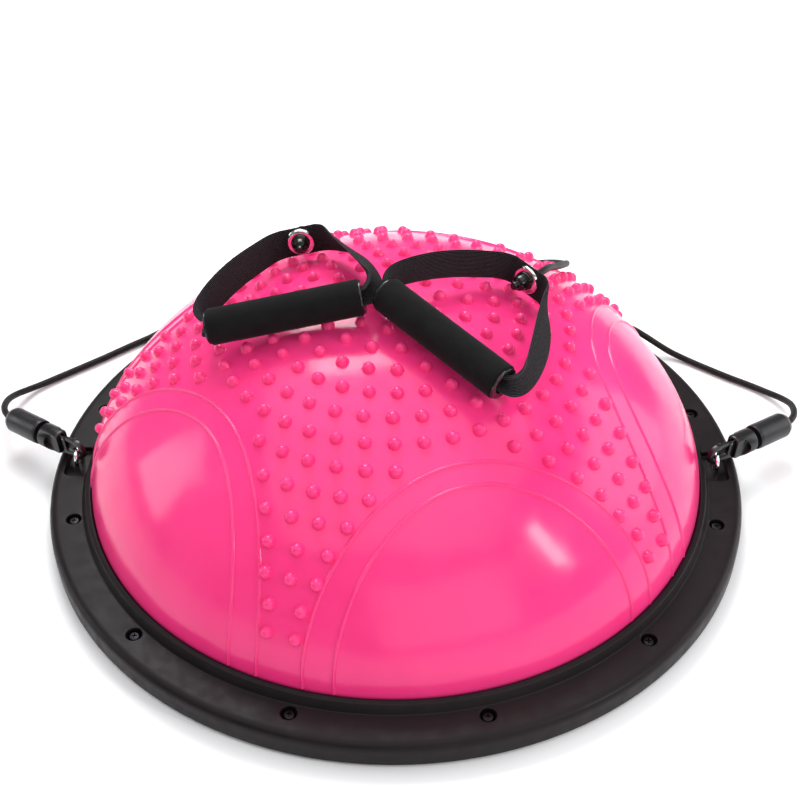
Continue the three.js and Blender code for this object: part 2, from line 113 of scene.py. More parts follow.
def add(tree: bpy.types.NodeTree, kind: str, links: dict | None = None, values: dict | None = None,
        **settings: object) -> bpy.types.Node:
    """Add one node to a tree.

    Args:
        tree: The node tree.
        kind: The node's type name.
        links: Input socket, by name or number, to the output socket that feeds it.
        values: Input socket, by name or number, to its own value.
        settings: Attributes of the node.

    Returns:
        The new node.
    """
    node = tree.nodes.new(kind)
    for name, value in settings.items():
        setattr(node, name, value)
    for socket, value in (values or {}).items():
        node.inputs[socket].default_value = value
    for socket, source in (links or {}).items():
        tree.links.new(source, node.inputs[socket])
    return node


@dataclass(frozen=True)
class Finish:
    """A finish: how a surface was made and what that gives the eye."""

    name: str
    tint: str
    roughness: float
    metallic: float = 0.0
    constants: tuple[tuple[str, object], ...] = ()

    def make(self) -> bpy.types.Material:
        """Build the finish's material.

        Returns:
            A node material with its colour, roughness and bump.
        """
        material = bpy.data.materials.new(self.name)
        material.use_nodes = True
        tree = material.node_tree
        shader = tree.nodes["Principled BSDF"]
        shader.inputs["Base Color"].default_value = linear(self.tint)
        shader.inputs["Roughness"].default_value = self.roughness
        shader.inputs["Metallic"].default_value = self.metallic
        for socket, value in self.constants:
            shader.inputs[socket].default_value = value
        self.detail(tree, shader, add(tree, "ShaderNodeTexCoord"))
        return material

    def detail(self, tree: bpy.types.NodeTree, shader: bpy.types.Node, place: bpy.types.Node) -> None:
        """Add the finish's own patterns; a bare finish has none."""

    @staticmethod
    def grain(tree: bpy.types.NodeTree, place: bpy.types.NodeSocket, size: float, detail: float = 2.0,
              rough: float = 0.5) -> bpy.types.NodeSocket:
        """Noise with features of a given size.

        Args:
            tree: The node tree.
            place: The coordinates that it reads.
            size: Size of a feature, in metres.
            detail: Number of finer layers.
            rough: Share that each finer layer adds.

        Returns:
            The noise's factor socket.
        """
        values = {"Scale": 1 / size, "Detail": detail, "Roughness": rough}
        return add(tree, "ShaderNodeTexNoise", {"Vector": place}, values).outputs["Fac"]

    @staticmethod
    def between(tree: bpy.types.NodeTree, factor: bpy.types.NodeSocket, low: float, high: float,
                start: float = 0.35, stop: float = 0.65) -> bpy.types.NodeSocket:
        """Spread a factor's middle range over a range of values.

        Args:
            tree: The node tree.
            factor: The factor.
            low: Value at the start.
            high: Value at the stop.
            start: Factor that gives the low value.
            stop: Factor that gives the high value.

        Returns:
            The value's socket.
        """
        values = {"From Min": start, "From Max": stop, "To Min": low, "To Max": high}
        return add(tree, "ShaderNodeMapRange", {"Value": factor}, values).outputs["Result"]

    @staticmethod
    def tinted(tree: bpy.types.NodeTree, factor: bpy.types.NodeSocket, low: str, high: str,
               start: float = 0.35, stop: float = 0.65) -> bpy.types.NodeSocket:
        """A colour between two sRGB hex colours, by a factor's middle range.

        Args:
            tree: The node tree.
            factor: The factor.
            low: Colour at the start.
            high: Colour at the stop.
            start: Factor that gives the low colour.
            stop: Factor that gives the high colour.

        Returns:
            The colour's socket.
        """
        ramp = add(tree, "ShaderNodeValToRGB", {"Fac": factor})
        ramp.color_ramp.elements[0].position = start
        ramp.color_ramp.elements[0].color = linear(low)
        ramp.color_ramp.elements[1].position = stop
        ramp.color_ramp.elements[1].color = linear(high)
        return ramp.outputs["Color"]

    @staticmethod
    def relief(tree: bpy.types.NodeTree, shader: bpy.types.Node,
               layers: Sequence[tuple[bpy.types.NodeSocket, float]]) -> None:
        """Give the shader a bump of several layers.

        Args:
            tree: The node tree.
            shader: The shader that gets the normal.
            layers: Height factors, each with its height in metres.
        """
        normal = None
        for height, distance in layers:
            links = {"Height": height}
            if normal is not None:
                links["Normal"] = normal
            bump = add(tree, "ShaderNodeBump", links, {"Distance": distance, "Strength": 1.0})
            normal = bump.outputs["Normal"]
        tree.links.new(normal, shader.inputs["Normal"])


@dataclass(frozen=True)
class BlownVinyl(Finish):
    """Soft glossy PVC, blown up: a tight skin that waves a little, so reflections wander on it."""

    shade: str = "F93581"
    cloud_size: float = 90 * MM
    handled_size: float = 30 * MM
    wave_size: float = 70 * MM
    wave_depth: float = 3 * MM
    ripple_size: float = 30 * MM
    ripple_depth: float = 0.5 * MM
    peel_size: float = 3.2 * MM
    peel_depth: float = 0.012 * MM

    def detail(self, tree: bpy.types.NodeTree, shader: bpy.types.Node, place: bpy.types.Node) -> None:
        """Cloudy pigment, slow waves in the skin, a slight peel and a few dull patches.

        Args:
            tree: The node tree.
            shader: The finish's shader.
            place: The coordinates node.
        """
        spot = place.outputs["Object"]
        cloud = self.grain(tree, spot, self.cloud_size, 3.0)
        tree.links.new(self.tinted(tree, cloud, self.shade, self.tint), shader.inputs["Base Color"])
        handled = self.grain(tree, spot, self.handled_size, 4.0, 0.6)
        dull = self.between(tree, handled, self.roughness - 0.03, self.roughness + 0.05)
        tree.links.new(dull, shader.inputs["Roughness"])
        wave = self.grain(tree, spot, self.wave_size, 1.0)
        peel = self.grain(tree, spot, self.peel_size, 1.0)
        ripple = self.grain(tree, spot, self.ripple_size, 1.0)
        self.relief(tree, shader, [(wave, self.wave_depth), (ripple, self.ripple_depth),
                                   (peel, self.peel_depth)])


@dataclass(frozen=True)
class MouldedPlastic(Finish):
    """Injection-moulded plastic with an etched grain that blurs its sheen."""

    shade: str = "252022"
    # a real etch is finer; it is drawn this coarse so that it shows
    grain_size: float = 0.0013
    depth: float = 0.00005
    cloud_size: float = 50 * MM
    rubbed_size: float = 12 * MM

    def detail(self, tree: bpy.types.NodeTree, shader: bpy.types.Node, place: bpy.types.Node) -> None:
        """Etched grain, faint flow clouds and rubbed patches.

        Args:
            tree: The node tree.
            shader: The finish's shader.
            place: The coordinates node.
        """
        spot = place.outputs["Object"]
        cloud = self.grain(tree, spot, self.cloud_size, 3.0)
        tree.links.new(self.tinted(tree, cloud, self.shade, self.tint), shader.inputs["Base Color"])
        rubbed = self.grain(tree, spot, self.rubbed_size, 5.0, 0.6)
        dull = self.between(tree, rubbed, self.roughness - 0.06, self.roughness + 0.06)
        tree.links.new(dull, shader.inputs["Roughness"])
        etched = self.grain(tree, spot, self.grain_size, 2.0)
        self.relief(tree, shader, [(etched, self.depth)])


@dataclass(frozen=True)
class PlatedSteel(Finish):
    """Plated steel wire and stampings: mirror-bright with hairline scuffs."""

    scuff: float = 0.05

    def detail(self, tree: bpy.types.NodeTree, shader: bpy.types.Node, place: bpy.types.Node) -> None:
        """Hairline scuffs in the roughness and a very shallow unevenness.

        Args:
            tree: The node tree.
            shader: The finish's shader.
            place: The coordinates node.
        """
        spot = place.outputs["Object"]
        hair = self.grain(tree, spot, 0.0009, 4.0, 0.7)
        dull = self.between(tree, hair, self.roughness, self.roughness + self.scuff, 0.45, 0.75)
        tree.links.new(dull, shader.inputs["Roughness"])
        self.relief(tree, shader, [(self.grain(tree, spot, 0.003, 1.0), 0.00001)])


@dataclass(frozen=True)
class DrawnRubber(Finish):
    """Extruded latex cord: a brownish black with a soft sheen and a powdery bloom."""

    bloom: str = "2B2423"

    def detail(self, tree: bpy.types.NodeTree, shader: bpy.types.Node, place: bpy.types.Node) -> None:
        """Bloom in patches, and fine draw lines that follow the cord on its own map.

        Args:
            tree: The node tree.
            shader: The finish's shader.
            place: The coordinates node.
        """
        along = add(tree, "ShaderNodeUVMap", uv_map="run")
        stretch = add(tree, "ShaderNodeMapping", {"Vector": along.outputs["UV"]},
                      {"Scale": (1.0, 12.0, 1.0)})
        patches = self.grain(tree, place.outputs["Object"], 0.004, 4.0, 0.6)
        tree.links.new(self.tinted(tree, patches, self.tint, self.bloom, 0.38, 0.8),
                       shader.inputs["Base Color"])
        lines = self.grain(tree, stretch.outputs["Vector"], 0.004, 3.0, 0.6)
        fine = self.grain(tree, place.outputs["Object"], 0.0006, 1.0)
        self.relief(tree, shader, [(lines, 0.00012), (fine, 0.00004)])


@dataclass(frozen=True)
class WovenNylon(Finish):
    """Ribbed nylon webbing: matt black with fine rows across it, their crests painted lighter as a painted
    highlight.
    """

    # painted highlight: the lighter colour that the rows' crests are painted
    painted_crest_highlight: str = "524E54"
    row: float = 0.0012

    def detail(self, tree: bpy.types.NodeTree, shader: bpy.types.Node, place: bpy.types.Node) -> None:
        """Rows on the band's own map, with fibre fuzz, and their crests painted lighter as a painted
        highlight.

        Args:
            tree: The node tree.
            shader: The finish's shader.
            place: The coordinates node.
        """
        weave = add(tree, "ShaderNodeUVMap", uv_map="run")
        rows = add(tree, "ShaderNodeTexWave", {"Vector": weave.outputs["UV"]},
                   {"Scale": 2 * math.pi / 20 / self.row, "Distortion": 0.3, "Detail": 1.0},
                   wave_type="BANDS", bands_direction="Y", wave_profile="SIN")
        fuzz = self.grain(tree, place.outputs["Object"], 0.0007, 3.0, 0.7)
        # painted highlight: the rows, broken up by the fuzz, shift the black towards the lighter crest
        # colour
        painted_highlight_mask = add(tree, "ShaderNodeMath", {0: rows.outputs["Fac"], 1: fuzz}, operation="MULTIPLY")
        tree.links.new(self.tinted(tree, painted_highlight_mask.outputs[0], self.tint, self.painted_crest_highlight, 0.25, 0.6),
                       shader.inputs["Base Color"])
        self.relief(tree, shader, [(rows.outputs["Fac"], 0.0004), (fuzz, 0.00008)])


@dataclass(frozen=True)
class ClosedFoam(Finish):
    """Skinned closed-cell foam: soot black, matt, pitted with pores."""

    pore: float = 0.0011

    def detail(self, tree: bpy.types.NodeTree, shader: bpy.types.Node, place: bpy.types.Node) -> None:
        """Pores as small pits, and a faint cloudiness of the skin.

        Args:
            tree: The node tree.
            shader: The finish's shader.
            place: The coordinates node.
        """
        spot = place.outputs["Object"]
        cloud = self.grain(tree, spot, 0.015, 3.0)
        tree.links.new(self.tinted(tree, cloud, "0C0B0C", self.tint), shader.inputs["Base Color"])
        pits = add(tree, "ShaderNodeTexVoronoi", {"Vector": spot}, {"Scale": 1 / self.pore})
        depth = self.between(tree, pits.outputs["Distance"], 0.0, 1.0, 0.0, 0.45)
        self.relief(tree, shader, [(depth, 0.00012), (self.grain(tree, spot, 0.004, 2.0), 0.00025)])


SHEEN = (("Sheen Weight", 0.04), ("Sheen Roughness", 0.4), ("Specular IOR Level", 0.2))
DULL = (("Specular IOR Level", 0.2),)
FINISHES: dict[Slot, Finish] = {
    Slot.BASE: MouldedPlastic("moulded_polypropylene", "180F12", 0.42, shade="130C0F", constants=DULL),
    Slot.DOME: BlownVinyl("blown_pvc", "FF3F88", 0.19, constants=(
        ("Subsurface Weight", 0.12), ("Subsurface Radius", (1.0, 0.25, 0.35)), ("Subsurface Scale", 0.004),
        ("Specular IOR Level", 0.26), ("Coat Weight", 0.16), ("Coat Roughness", 0.1))),
    Slot.PLUG: MouldedPlastic("moulded_polyethylene", "DAD9D3", 0.45, shade="CFCDC6", grain_size=0.002),
    Slot.SCREW: PlatedSteel("blackened_steel", "2A2A2D", 0.32, metallic=1.0, scuff=0.15),
    Slot.EYE: PlatedSteel("chromed_wire", "F0F0F2", 0.12, metallic=1.0),
    Slot.NUT: PlatedSteel("zinc_plated_steel", "A9ABAF", 0.28, metallic=1.0, scuff=0.12),
    Slot.HOOK: MouldedPlastic("moulded_acetal", "121012", 0.3, shade="0E0C0E", grain_size=0.003,
                              depth=0.00002),
    Slot.SLEEVE: MouldedPlastic("moulded_nylon", "17171C", 0.36, shade="121216", grain_size=0.0022,
                                depth=0.00003),
    Slot.CORD: DrawnRubber("latex_rubber", "0D0A0A", 0.5, constants=DULL),
    Slot.STOPPER: MouldedPlastic("polished_abs", "151415", 0.16, shade="121112", grain_size=0.004,
                                 depth=0.00001),
    Slot.WEBBING: WovenNylon("nylon_webbing", "080708", 0.85, constants=SHEEN),
    Slot.GROMMET: PlatedSteel("chromed_brass", "E6E4E2", 0.07, metallic=1.0),
    Slot.CORE: MouldedPlastic("extruded_abs", "191819", 0.14, shade="141314", grain_size=0.004,
                              depth=0.00001),
    Slot.FOAM: ClosedFoam("closed_cell_foam", "121112", 0.92, constants=SHEEN),
}
MATERIALS: dict[Slot, bpy.types.Material] = {}


# ---------- shapes ----------
@dataclass(frozen=True)
class Placement:
    """An origin and three directions, square to each other, that a sub-assembly is built in."""

    origin: Vector
    x: Vector
    y: Vector
    z: Vector

    def at(self, x: float, y: float, z: float) -> Vector:
        """The point with these local coordinates."""
        return self.origin + float(x) * self.x + float(y) * self.y + float(z) * self.z


WORLD = Placement(Vector((0, 0, 0)), Vector((1, 0, 0)), Vector((0, 1, 0)), Vector((0, 0, 1)))


def mesh_piece(name: str, corners: Iterable[Sequence[float]], faces: Iterable[Sequence[int]], slot: Slot,
               crease: float = 35.0) -> bpy.types.Object:
    """Make a piece from corners and faces, with its faces turned outwards.

    Args:
        name: The piece's name.
        corners: Points in the row frame.
        faces: Corner numbers of each face.
        slot: The material slot.
        crease: Angle in degrees above which an edge looks sharp.

    Returns:
        The linked object, at the origin.
    """
    mesh = bpy.data.meshes.new(name)
    mesh.from_pydata([tuple(c) for c in corners], [], [tuple(f) for f in faces])
    piece = bpy.data.objects.new(name, mesh)
    bpy.context.scene.collection.objects.link(piece)
    work = bmesh.new()
    work.from_mesh(mesh)
    bmesh.ops.remove_doubles(work, verts=work.verts, dist=MERGE)
    bmesh.ops.recalc_face_normals(work, faces=work.faces)
    work.to_mesh(mesh)
    work.free()
    finish_shading(piece, slot, crease)
    return piece


def finish_shading(piece: bpy.types.Object, slot: Slot, crease: float) -> None:
    """Give a piece its material and smooth shading with sharp edges above the crease angle.

    Args:
        piece: The piece.
        slot: The material slot.
        crease: The crease angle, in degrees.
    """
    mesh = piece.data
    mesh.materials.clear()
    mesh.materials.append(MATERIALS[slot])
    mesh.shade_smooth()
    mesh.set_sharp_from_angle(angle=math.radians(crease))


def settle(piece: bpy.types.Object, body: str, slot: Slot, *nodes: str) -> bpy.types.Object:
    """Tie a finished piece to its body, hide the CAD nodes that it stands for and log its faces.

    Args:
        piece: The finished piece.
        body: The CAD body that it rides on.
        slot: The record's material slot; not used.
        nodes: The CAD nodes that it replaces.

    Returns:
        The piece.
    """
    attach(piece, body)
    if nodes:
        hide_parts(*nodes)
    LOG.info("%s: %d faces on %s", piece.name, len(piece.data.polygons), body)
    return piece


def rounded(corners: Sequence[tuple[float, float, float]], closed: bool,
            steps: int = 5) -> list[tuple[float, float]]:
    """A profile whose corners are rounded.

    Args:
        corners: Each corner's two coordinates and its rounding radius.
        closed: Whether the last corner joins the first.
        steps: Number of short edges in each rounding.

    Returns:
        The profile's points.
    """
    points: list[tuple[float, float]] = []
    count = len(corners)
    for k, (u, v, radius) in enumerate(corners):
        here = Vector((u, v))
        ends = not closed and k in (0, count - 1)
        if radius <= 0 or ends:
            points.append((u, v))
            continue
        before = Vector(corners[k - 1][:2]) - here
        after = Vector(corners[(k + 1) % count][:2]) - here
        half = before.angle(after) / 2
        reach = min(radius / math.tan(half), 0.49 * before.length, 0.49 * after.length)
        start = here + before.normalized() * reach
        stop = here + after.normalized() * reach
        for j in range(steps + 1):
            t = j / steps
            point = (1 - t) ** 2 * start + 2 * t * (1 - t) * here + t * t * stop
            points.append((point.x, point.y))
    return points


def turned(name: str, profile: Sequence[tuple[float, float]], segments: int, slot: Slot,
           place: Placement = WORLD, closed: bool = False, crease: float = 35.0) -> bpy.types.Object:
    """Turn a profile about a placement's Z axis.

    Args:
        name: The piece's name.
        profile: Radius and height of each point.
        segments: Number of steps round the axis.
        slot: The material slot.
        place: The placement whose Z is the axis.
        closed: Whether the profile closes on itself; otherwise it starts and ends on the axis.
        crease: Angle in degrees above which an edge looks sharp.

    Returns:
        The piece.
    """
    corners, faces, rings = [], [], []
    for radius, height in profile:
        if radius < MERGE:
            rings.append([len(corners)] * segments)
            corners.append(place.at(0, 0, height))
            continue
        rings.append([len(corners) + k for k in range(segments)])
        for k in range(segments):
            turn = 2 * math.pi * k / segments
            corners.append(place.at(radius * math.cos(turn), radius * math.sin(turn), height))
    pairs = list(zip(rings, rings[1:]))
    if closed:
        pairs.append((rings[-1], rings[0]))
    for low, high in pairs:
        for k in range(segments):
            n = (k + 1) % segments
            face = list(dict.fromkeys((low[k], low[n], high[n], high[k])))
            if len(face) > 2:
                faces.append(face)
    return mesh_piece(name, corners, faces, slot, crease)


def smooth_path(points: Sequence[Sequence[float]], per_span: int, closed: bool = False) -> np.ndarray:
    """A centripetal Catmull-Rom curve through points of any dimension.

    Args:
        points: The points, in order.
        per_span: Samples from each point to the next.
        closed: Whether the curve returns to its first point.

    Returns:
        The samples. An open curve ends with its last point.
    """
    p = np.array(points, float)
    if closed:
        p = np.vstack([p[-1], p, p[0], p[1]])
    else:
        p = np.vstack([2 * p[0] - p[1], p, 2 * p[-1] - p[-2]])
    samples = []
    for k in range(1, len(p) - 2):
        gaps = [max(1e-9, float(np.linalg.norm(p[k + j, :3] - p[k + j - 1, :3])) ** 0.5) for j in range(3)]
        knots = np.cumsum([0.0, *gaps])
        for t in np.linspace(knots[1], knots[2], per_span, endpoint=False):
            a = [(knots[j + 1] - t) / gaps[j] * p[k - 1 + j] + (t - knots[j]) / gaps[j] * p[k + j]
                 for j in range(3)]
            b = [(knots[j + 2] - t) / (knots[j + 2] - knots[j]) * a[j]
                 + (t - knots[j]) / (knots[j + 2] - knots[j]) * a[j + 1] for j in range(2)]
            samples.append((knots[2] - t) / gaps[1] * b[0] + (t - knots[1]) / gaps[1] * b[1])
    if not closed:
        samples.append(p[-2])
    return np.array(samples)


def even_steps(path: np.ndarray, count: int, closed: bool = False) -> tuple[np.ndarray, float]:
    """Resample a path at even distances.

    Args:
        path: Points in rows; columns past the third are carried along.
        count: Number of samples.
        closed: Whether the path returns to its start.

    Returns:
        The samples and the path's length.
    """
    line = np.vstack([path, path[:1]]) if closed else path
    run = np.concatenate([[0], np.cumsum(np.linalg.norm(np.diff(line[:, :3], axis=0), axis=1))])
    stops = np.linspace(0, run[-1], count, endpoint=not closed)
    columns = [np.interp(stops, run, line[:, k]) for k in range(line.shape[1])]
    return np.stack(columns, axis=1), float(run[-1])


def tube(name: str, path: np.ndarray, radius: float, sides: int, slot: Slot) -> bpy.types.Object:
    """A round tube along an open path, with closed ends and a map of its length and girth.

    Args:
        name: The piece's name.
        path: The centre line.
        radius: The tube's radius.
        sides: Number of sides.
        slot: The material slot.

    Returns:
        The piece.
    """
    tangents = np.gradient(path, axis=0)
    tangents /= np.linalg.norm(tangents, axis=1)[:, None]
    across = np.cross(tangents[0], (0.0, 0.0, 1.0))
    if np.linalg.norm(across) < 1e-3:
        across = np.cross(tangents[0], (1.0, 0.0, 0.0))
    corners, faces = [], []
    for point, forward in zip(path, tangents):
        across = across - forward * float(across @ forward)
        across /= np.linalg.norm(across)
        up = np.cross(forward, across)
        for k in range(sides):
            turn = 2 * math.pi * k / sides
            corners.append(point + radius * (math.cos(turn) * across + math.sin(turn) * up))
    for j in range(len(path) - 1):
        for k in range(sides):
            n = (k + 1) % sides
            faces.append((j * sides + k, j * sides + n, (j + 1) * sides + n, (j + 1) * sides + k))
    faces.append(tuple(range(sides)))
    faces.append(tuple(range(len(corners) - sides, len(corners))))
    piece = mesh_piece(name, corners, faces, slot, 60.0)
    run = np.concatenate([[0], np.cumsum(np.linalg.norm(np.diff(path, axis=0), axis=1))])
    map_corners(piece, lambda index: (run[min(index // sides, len(run) - 1)],
                                      2 * math.pi * radius * (index % sides) / sides))
    return piece


def map_corners(piece: bpy.types.Object, place: Callable[[int], tuple[float, float]]) -> None:
    """Write the map named run, in metres, from each corner's number."""
    layer = piece.data.uv_layers.new(name="run")
    for loop in piece.data.loops:
        layer.data[loop.index].uv = place(loop.vertex_index)


def cut_away(piece: bpy.types.Object, cutters: Sequence[bpy.types.Object], slot: Slot,
             crease: float = 30.0) -> None:
    """Cut several closed shapes out of a piece, and remove them.

    Args:
        piece: The piece that is cut.
        cutters: The shapes that are taken away.
        slot: The material slot that the cut faces take.
        crease: Angle in degrees above which an edge looks sharp.
    """
    for cutter in cutters:
        modifier = piece.modifiers.new("cut", "BOOLEAN")
        modifier.operation = "DIFFERENCE"
        modifier.solver = "EXACT"
        modifier.object = cutter
    apply_modifiers(piece)
    for cutter in cutters:
        bpy.data.objects.remove(cutter)
    finish_shading(piece, slot, crease)


def apply_modifiers(piece: bpy.types.Object) -> None:
    """Replace a piece's mesh by its evaluated one and drop its modifiers.

    Args:
        piece: The piece.
    """
    bpy.context.view_layer.update()
    evaluated = piece.evaluated_get(bpy.context.evaluated_depsgraph_get())
    made = bpy.data.meshes.new_from_object(evaluated)
    piece.modifiers.clear()
    piece.data = made
    made.name = piece.name


def soften(piece: bpy.types.Object, width: float, angle: float, slot: Slot) -> None:
    """Round a piece's edges that are sharper than an angle, and apply it.

    Args:
        piece: The piece.
        width: Width of the rounding.
        angle: The angle, in degrees.
        slot: The material slot.
    """
    modifier = piece.modifiers.new("edge", "BEVEL")
    modifier.width = width
    modifier.segments = 2
    modifier.limit_method = "ANGLE"
    modifier.angle_limit = math.radians(angle)
    modifier.use_clamp_overlap = True
    apply_modifiers(piece)
    finish_shading(piece, slot, 50.0)


def stacked(name: str, outlines: Sequence[Sequence[Vector]], slot: Slot,
            crease: float = 35.0) -> bpy.types.Object:
    """A closed solid through outlines of equal count, with flat first and last faces.

    Args:
        name: The piece's name.
        outlines: Outlines in order, each a loop of corners.
        slot: The material slot.
        crease: Angle in degrees above which an edge looks sharp.

    Returns:
        The piece.
    """
    count = len(outlines[0])
    corners = [corner for outline in outlines for corner in outline]
    faces = [tuple(range(count)), tuple(range(len(corners) - count, len(corners)))]
    for j in range(len(outlines) - 1):
        for k in range(count):
            n = (k + 1) % count
            faces.append((j * count + k, j * count + n, (j + 1) * count + n, (j + 1) * count + k))
    return mesh_piece(name, corners, faces, slot, crease)


def block(name: str, place: Placement, low: Sequence[float], high: Sequence[float]) -> bpy.types.Object:
    """A plain block between two local corners, for cutting.

    Args:
        name: The block's name.
        place: The placement whose coordinates the corners are in.
        low: Its lowest corner.
        high: Its highest corner.

    Returns:
        The block.
    """
    round_it = ((low[0], low[1]), (high[0], low[1]), (high[0], high[1]), (low[0], high[1]))
    outlines = [[place.at(x, y, z) for x, y in round_it] for z in (low[2], high[2])]
    return stacked(name, outlines, Slot.HOOK)


@dataclass
class Scatter:
    """A geometry node tree that sets one small shape on points, each turned to its own direction."""

    name: str
    shape: bpy.types.Object
    slot: Slot
    spread: float = 0.0
    seed: int = 7

    def tree(self) -> bpy.types.GeometryNodeTree:
        """Build the tree, with its shape, size spread and seed as named inputs.

        Returns:
            The node tree.
        """
        tree = bpy.data.node_groups.new(self.name, "GeometryNodeTree")
        sockets = (("Points", "INPUT", "NodeSocketGeometry"), ("Shape", "INPUT", "NodeSocketObject"),
                   ("Spread", "INPUT", "NodeSocketFloat"), ("Seed", "INPUT", "NodeSocketInt"),
                   ("Pieces", "OUTPUT", "NodeSocketGeometry"))
        for label, way, kind in sockets:
            tree.interface.new_socket(name=label, in_out=way, socket_type=kind)
        given = add(tree, "NodeGroupInput").outputs
        shape = add(tree, "GeometryNodeObjectInfo", {"Object": given["Shape"]}, transform_space="ORIGINAL")
        facing = add(tree, "GeometryNodeInputNamedAttribute", values={"Name": "facing"},
                     data_type="FLOAT_VECTOR")
        turn = add(tree, "FunctionNodeAlignRotationToVector", {"Vector": facing.outputs["Attribute"]},
                   axis="Z")
        least = add(tree, "ShaderNodeMath", {1: given["Spread"]}, {0: 1.0}, operation="SUBTRACT")
        most = add(tree, "ShaderNodeMath", {1: given["Spread"]}, {0: 1.0}, operation="ADD")
        size = add(tree, "FunctionNodeRandomValue", {2: least.outputs[0], 3: most.outputs[0],
                                                     "Seed": given["Seed"]}, data_type="FLOAT")
        placed = add(tree, "GeometryNodeInstanceOnPoints", {
            "Points": given["Points"], "Instance": shape.outputs["Geometry"],
            "Rotation": turn.outputs["Rotation"], "Scale": size.outputs[1]})
        real = add(tree, "GeometryNodeRealizeInstances", {"Geometry": placed.outputs["Instances"]})
        dressed = add(tree, "GeometryNodeSetMaterial", {"Geometry": real.outputs["Geometry"]},
                      {"Material": MATERIALS[self.slot]})
        add(tree, "NodeGroupOutput", {"Pieces": dressed.outputs["Geometry"]})
        return tree

    def build(self, points: Sequence[Vector], facing: Sequence[Vector],
              crease: float = 40.0) -> bpy.types.Object:
        """Set the shape on every point and make one plain mesh of them.

        Args:
            points: Where each copy stands.
            facing: The direction that each copy's Z takes.
            crease: Angle in degrees above which an edge looks sharp.

        Returns:
            The finished piece.
        """
        mesh = bpy.data.meshes.new(self.name)
        mesh.from_pydata([tuple(p) for p in points], [], [])
        layer = mesh.attributes.new("facing", "FLOAT_VECTOR", "POINT")
        layer.data.foreach_set("vector", np.array([tuple(f) for f in facing], float).ravel())
        piece = bpy.data.objects.new(self.name, mesh)
        bpy.context.scene.collection.objects.link(piece)
        modifier = piece.modifiers.new("scatter", "NODES")
        modifier.node_group = self.tree()
        sockets = {item.name: item.identifier for item in modifier.node_group.interface.items_tree
                   if item.in_out == "INPUT"}
        modifier[sockets["Shape"]] = self.shape
        modifier[sockets["Spread"]] = self.spread
        modifier[sockets["Seed"]] = self.seed
        apply_modifiers(piece)
        bpy.data.objects.remove(self.shape)
        finish_shading(piece, self.slot, crease)
        return piece


# ---------- camera and light ----------
@dataclass
class Studio:
    """A pale floor, soft boxes and the camera."""

    eye: tuple[float, float, float] = (0.0222, -0.8470, 0.7896)
    down: float = 39.45
    heading: float = 1.23
    roll: float = -0.38
    lens: float = 60.35
    fill: float = 0.32
    floor_reach: float = 6.0
    floor_drop: float = 0.6 * MM

    def camera(self) -> None:
        """Place the camera."""
        data = bpy.data.cameras.new("camera")
        data.lens = self.lens
        data.sensor_width = 36
        data.clip_start = 0.01
        camera = bpy.data.objects.new("camera", data)
        bpy.context.scene.collection.objects.link(camera)
        turn = (Matrix.Rotation(math.radians(self.heading), 4, "Z")
                @ Matrix.Rotation(math.radians(90 - self.down), 4, "X")
                @ Matrix.Rotation(math.radians(self.roll), 4, "Z"))
        camera.matrix_world = Matrix.Translation(self.eye) @ turn
        bpy.context.scene.camera = camera

    def soft_box(self, name: str, aim: Sequence[float], way: Sequence[float], distance: float,
                 size: tuple[float, float], power: float) -> None:
        """Hang one rectangular soft box.

        Args:
            name: The light's name.
            aim: The point that it faces.
            way: Direction from that point to the light.
            distance: How far off it hangs.
            size: Its width and height.
            power: Its power in watts.
        """
        data = bpy.data.lights.new(name, "AREA")
        data.shape = "RECTANGLE"
        data.size, data.size_y = size
        data.energy = power
        light = bpy.data.objects.new(name, data)
        bpy.context.scene.collection.objects.link(light)
        back = Vector(way).normalized()
        light.location = Vector(aim) + back * distance
        light.rotation_euler = back.to_track_quat("Z", "Y").to_euler()

    def build(self) -> None:
        """Make the floor, the light and the camera."""
        self.camera()
        world = bpy.data.worlds.new("studio")
        world.use_nodes = True
        back = world.node_tree.nodes["Background"]
        back.inputs["Color"].default_value = linear("F4F4F6")
        back.inputs["Strength"].default_value = self.fill
        bpy.context.scene.world = world
        self.soft_box("window", (0.111, -0.182, 0.111), (0.769, -0.406, 0.494), 1.6, (0.13, 0.6), 5.5)
        self.soft_box("wide_left", (-0.163, -0.119, 0.122), (-0.926, 0.185, 0.328), 1.7, (0.6, 0.9), 5.5)
        self.soft_box("overhead", (0.0, 0.0, 0.0), (0.0, -0.1, 1.0), 2.2, (3.2, 3.2), 38)
        self.soft_box("key", (0.0, 0.0, 0.15), (-0.12, 0.62, 0.75), 1.8, (1.0, 0.8), 24)
        self.soft_box("wide_right", (0.185, -0.104, 0.112), (0.94, 0.29, 0.3), 1.8, (1.4, 1.2), 12)
        self.soft_box("front_wall", (0.08, -0.21, 0.09), (0.3, -0.93, 0.35), 2.2, (2.0, 1.3), 9)
        floor = bpy.data.meshes.new("floor")
        reach = self.floor_reach
        corners = [(-reach, -reach, 0), (reach, -reach, 0), (reach, reach, 0), (-reach, reach, 0)]
        floor.from_pydata(corners, [], [(0, 1, 2, 3)])
        floor.transform(Matrix.Translation((0, 0, -self.floor_drop)))
        ground = bpy.data.objects.new("floor", floor)
        bpy.context.scene.collection.objects.link(ground)
        ground.data.materials.append(Finish("studio_floor", "FAFAFB", 0.9).make())
        bpy.context.scene.view_settings.view_transform = "Standard"


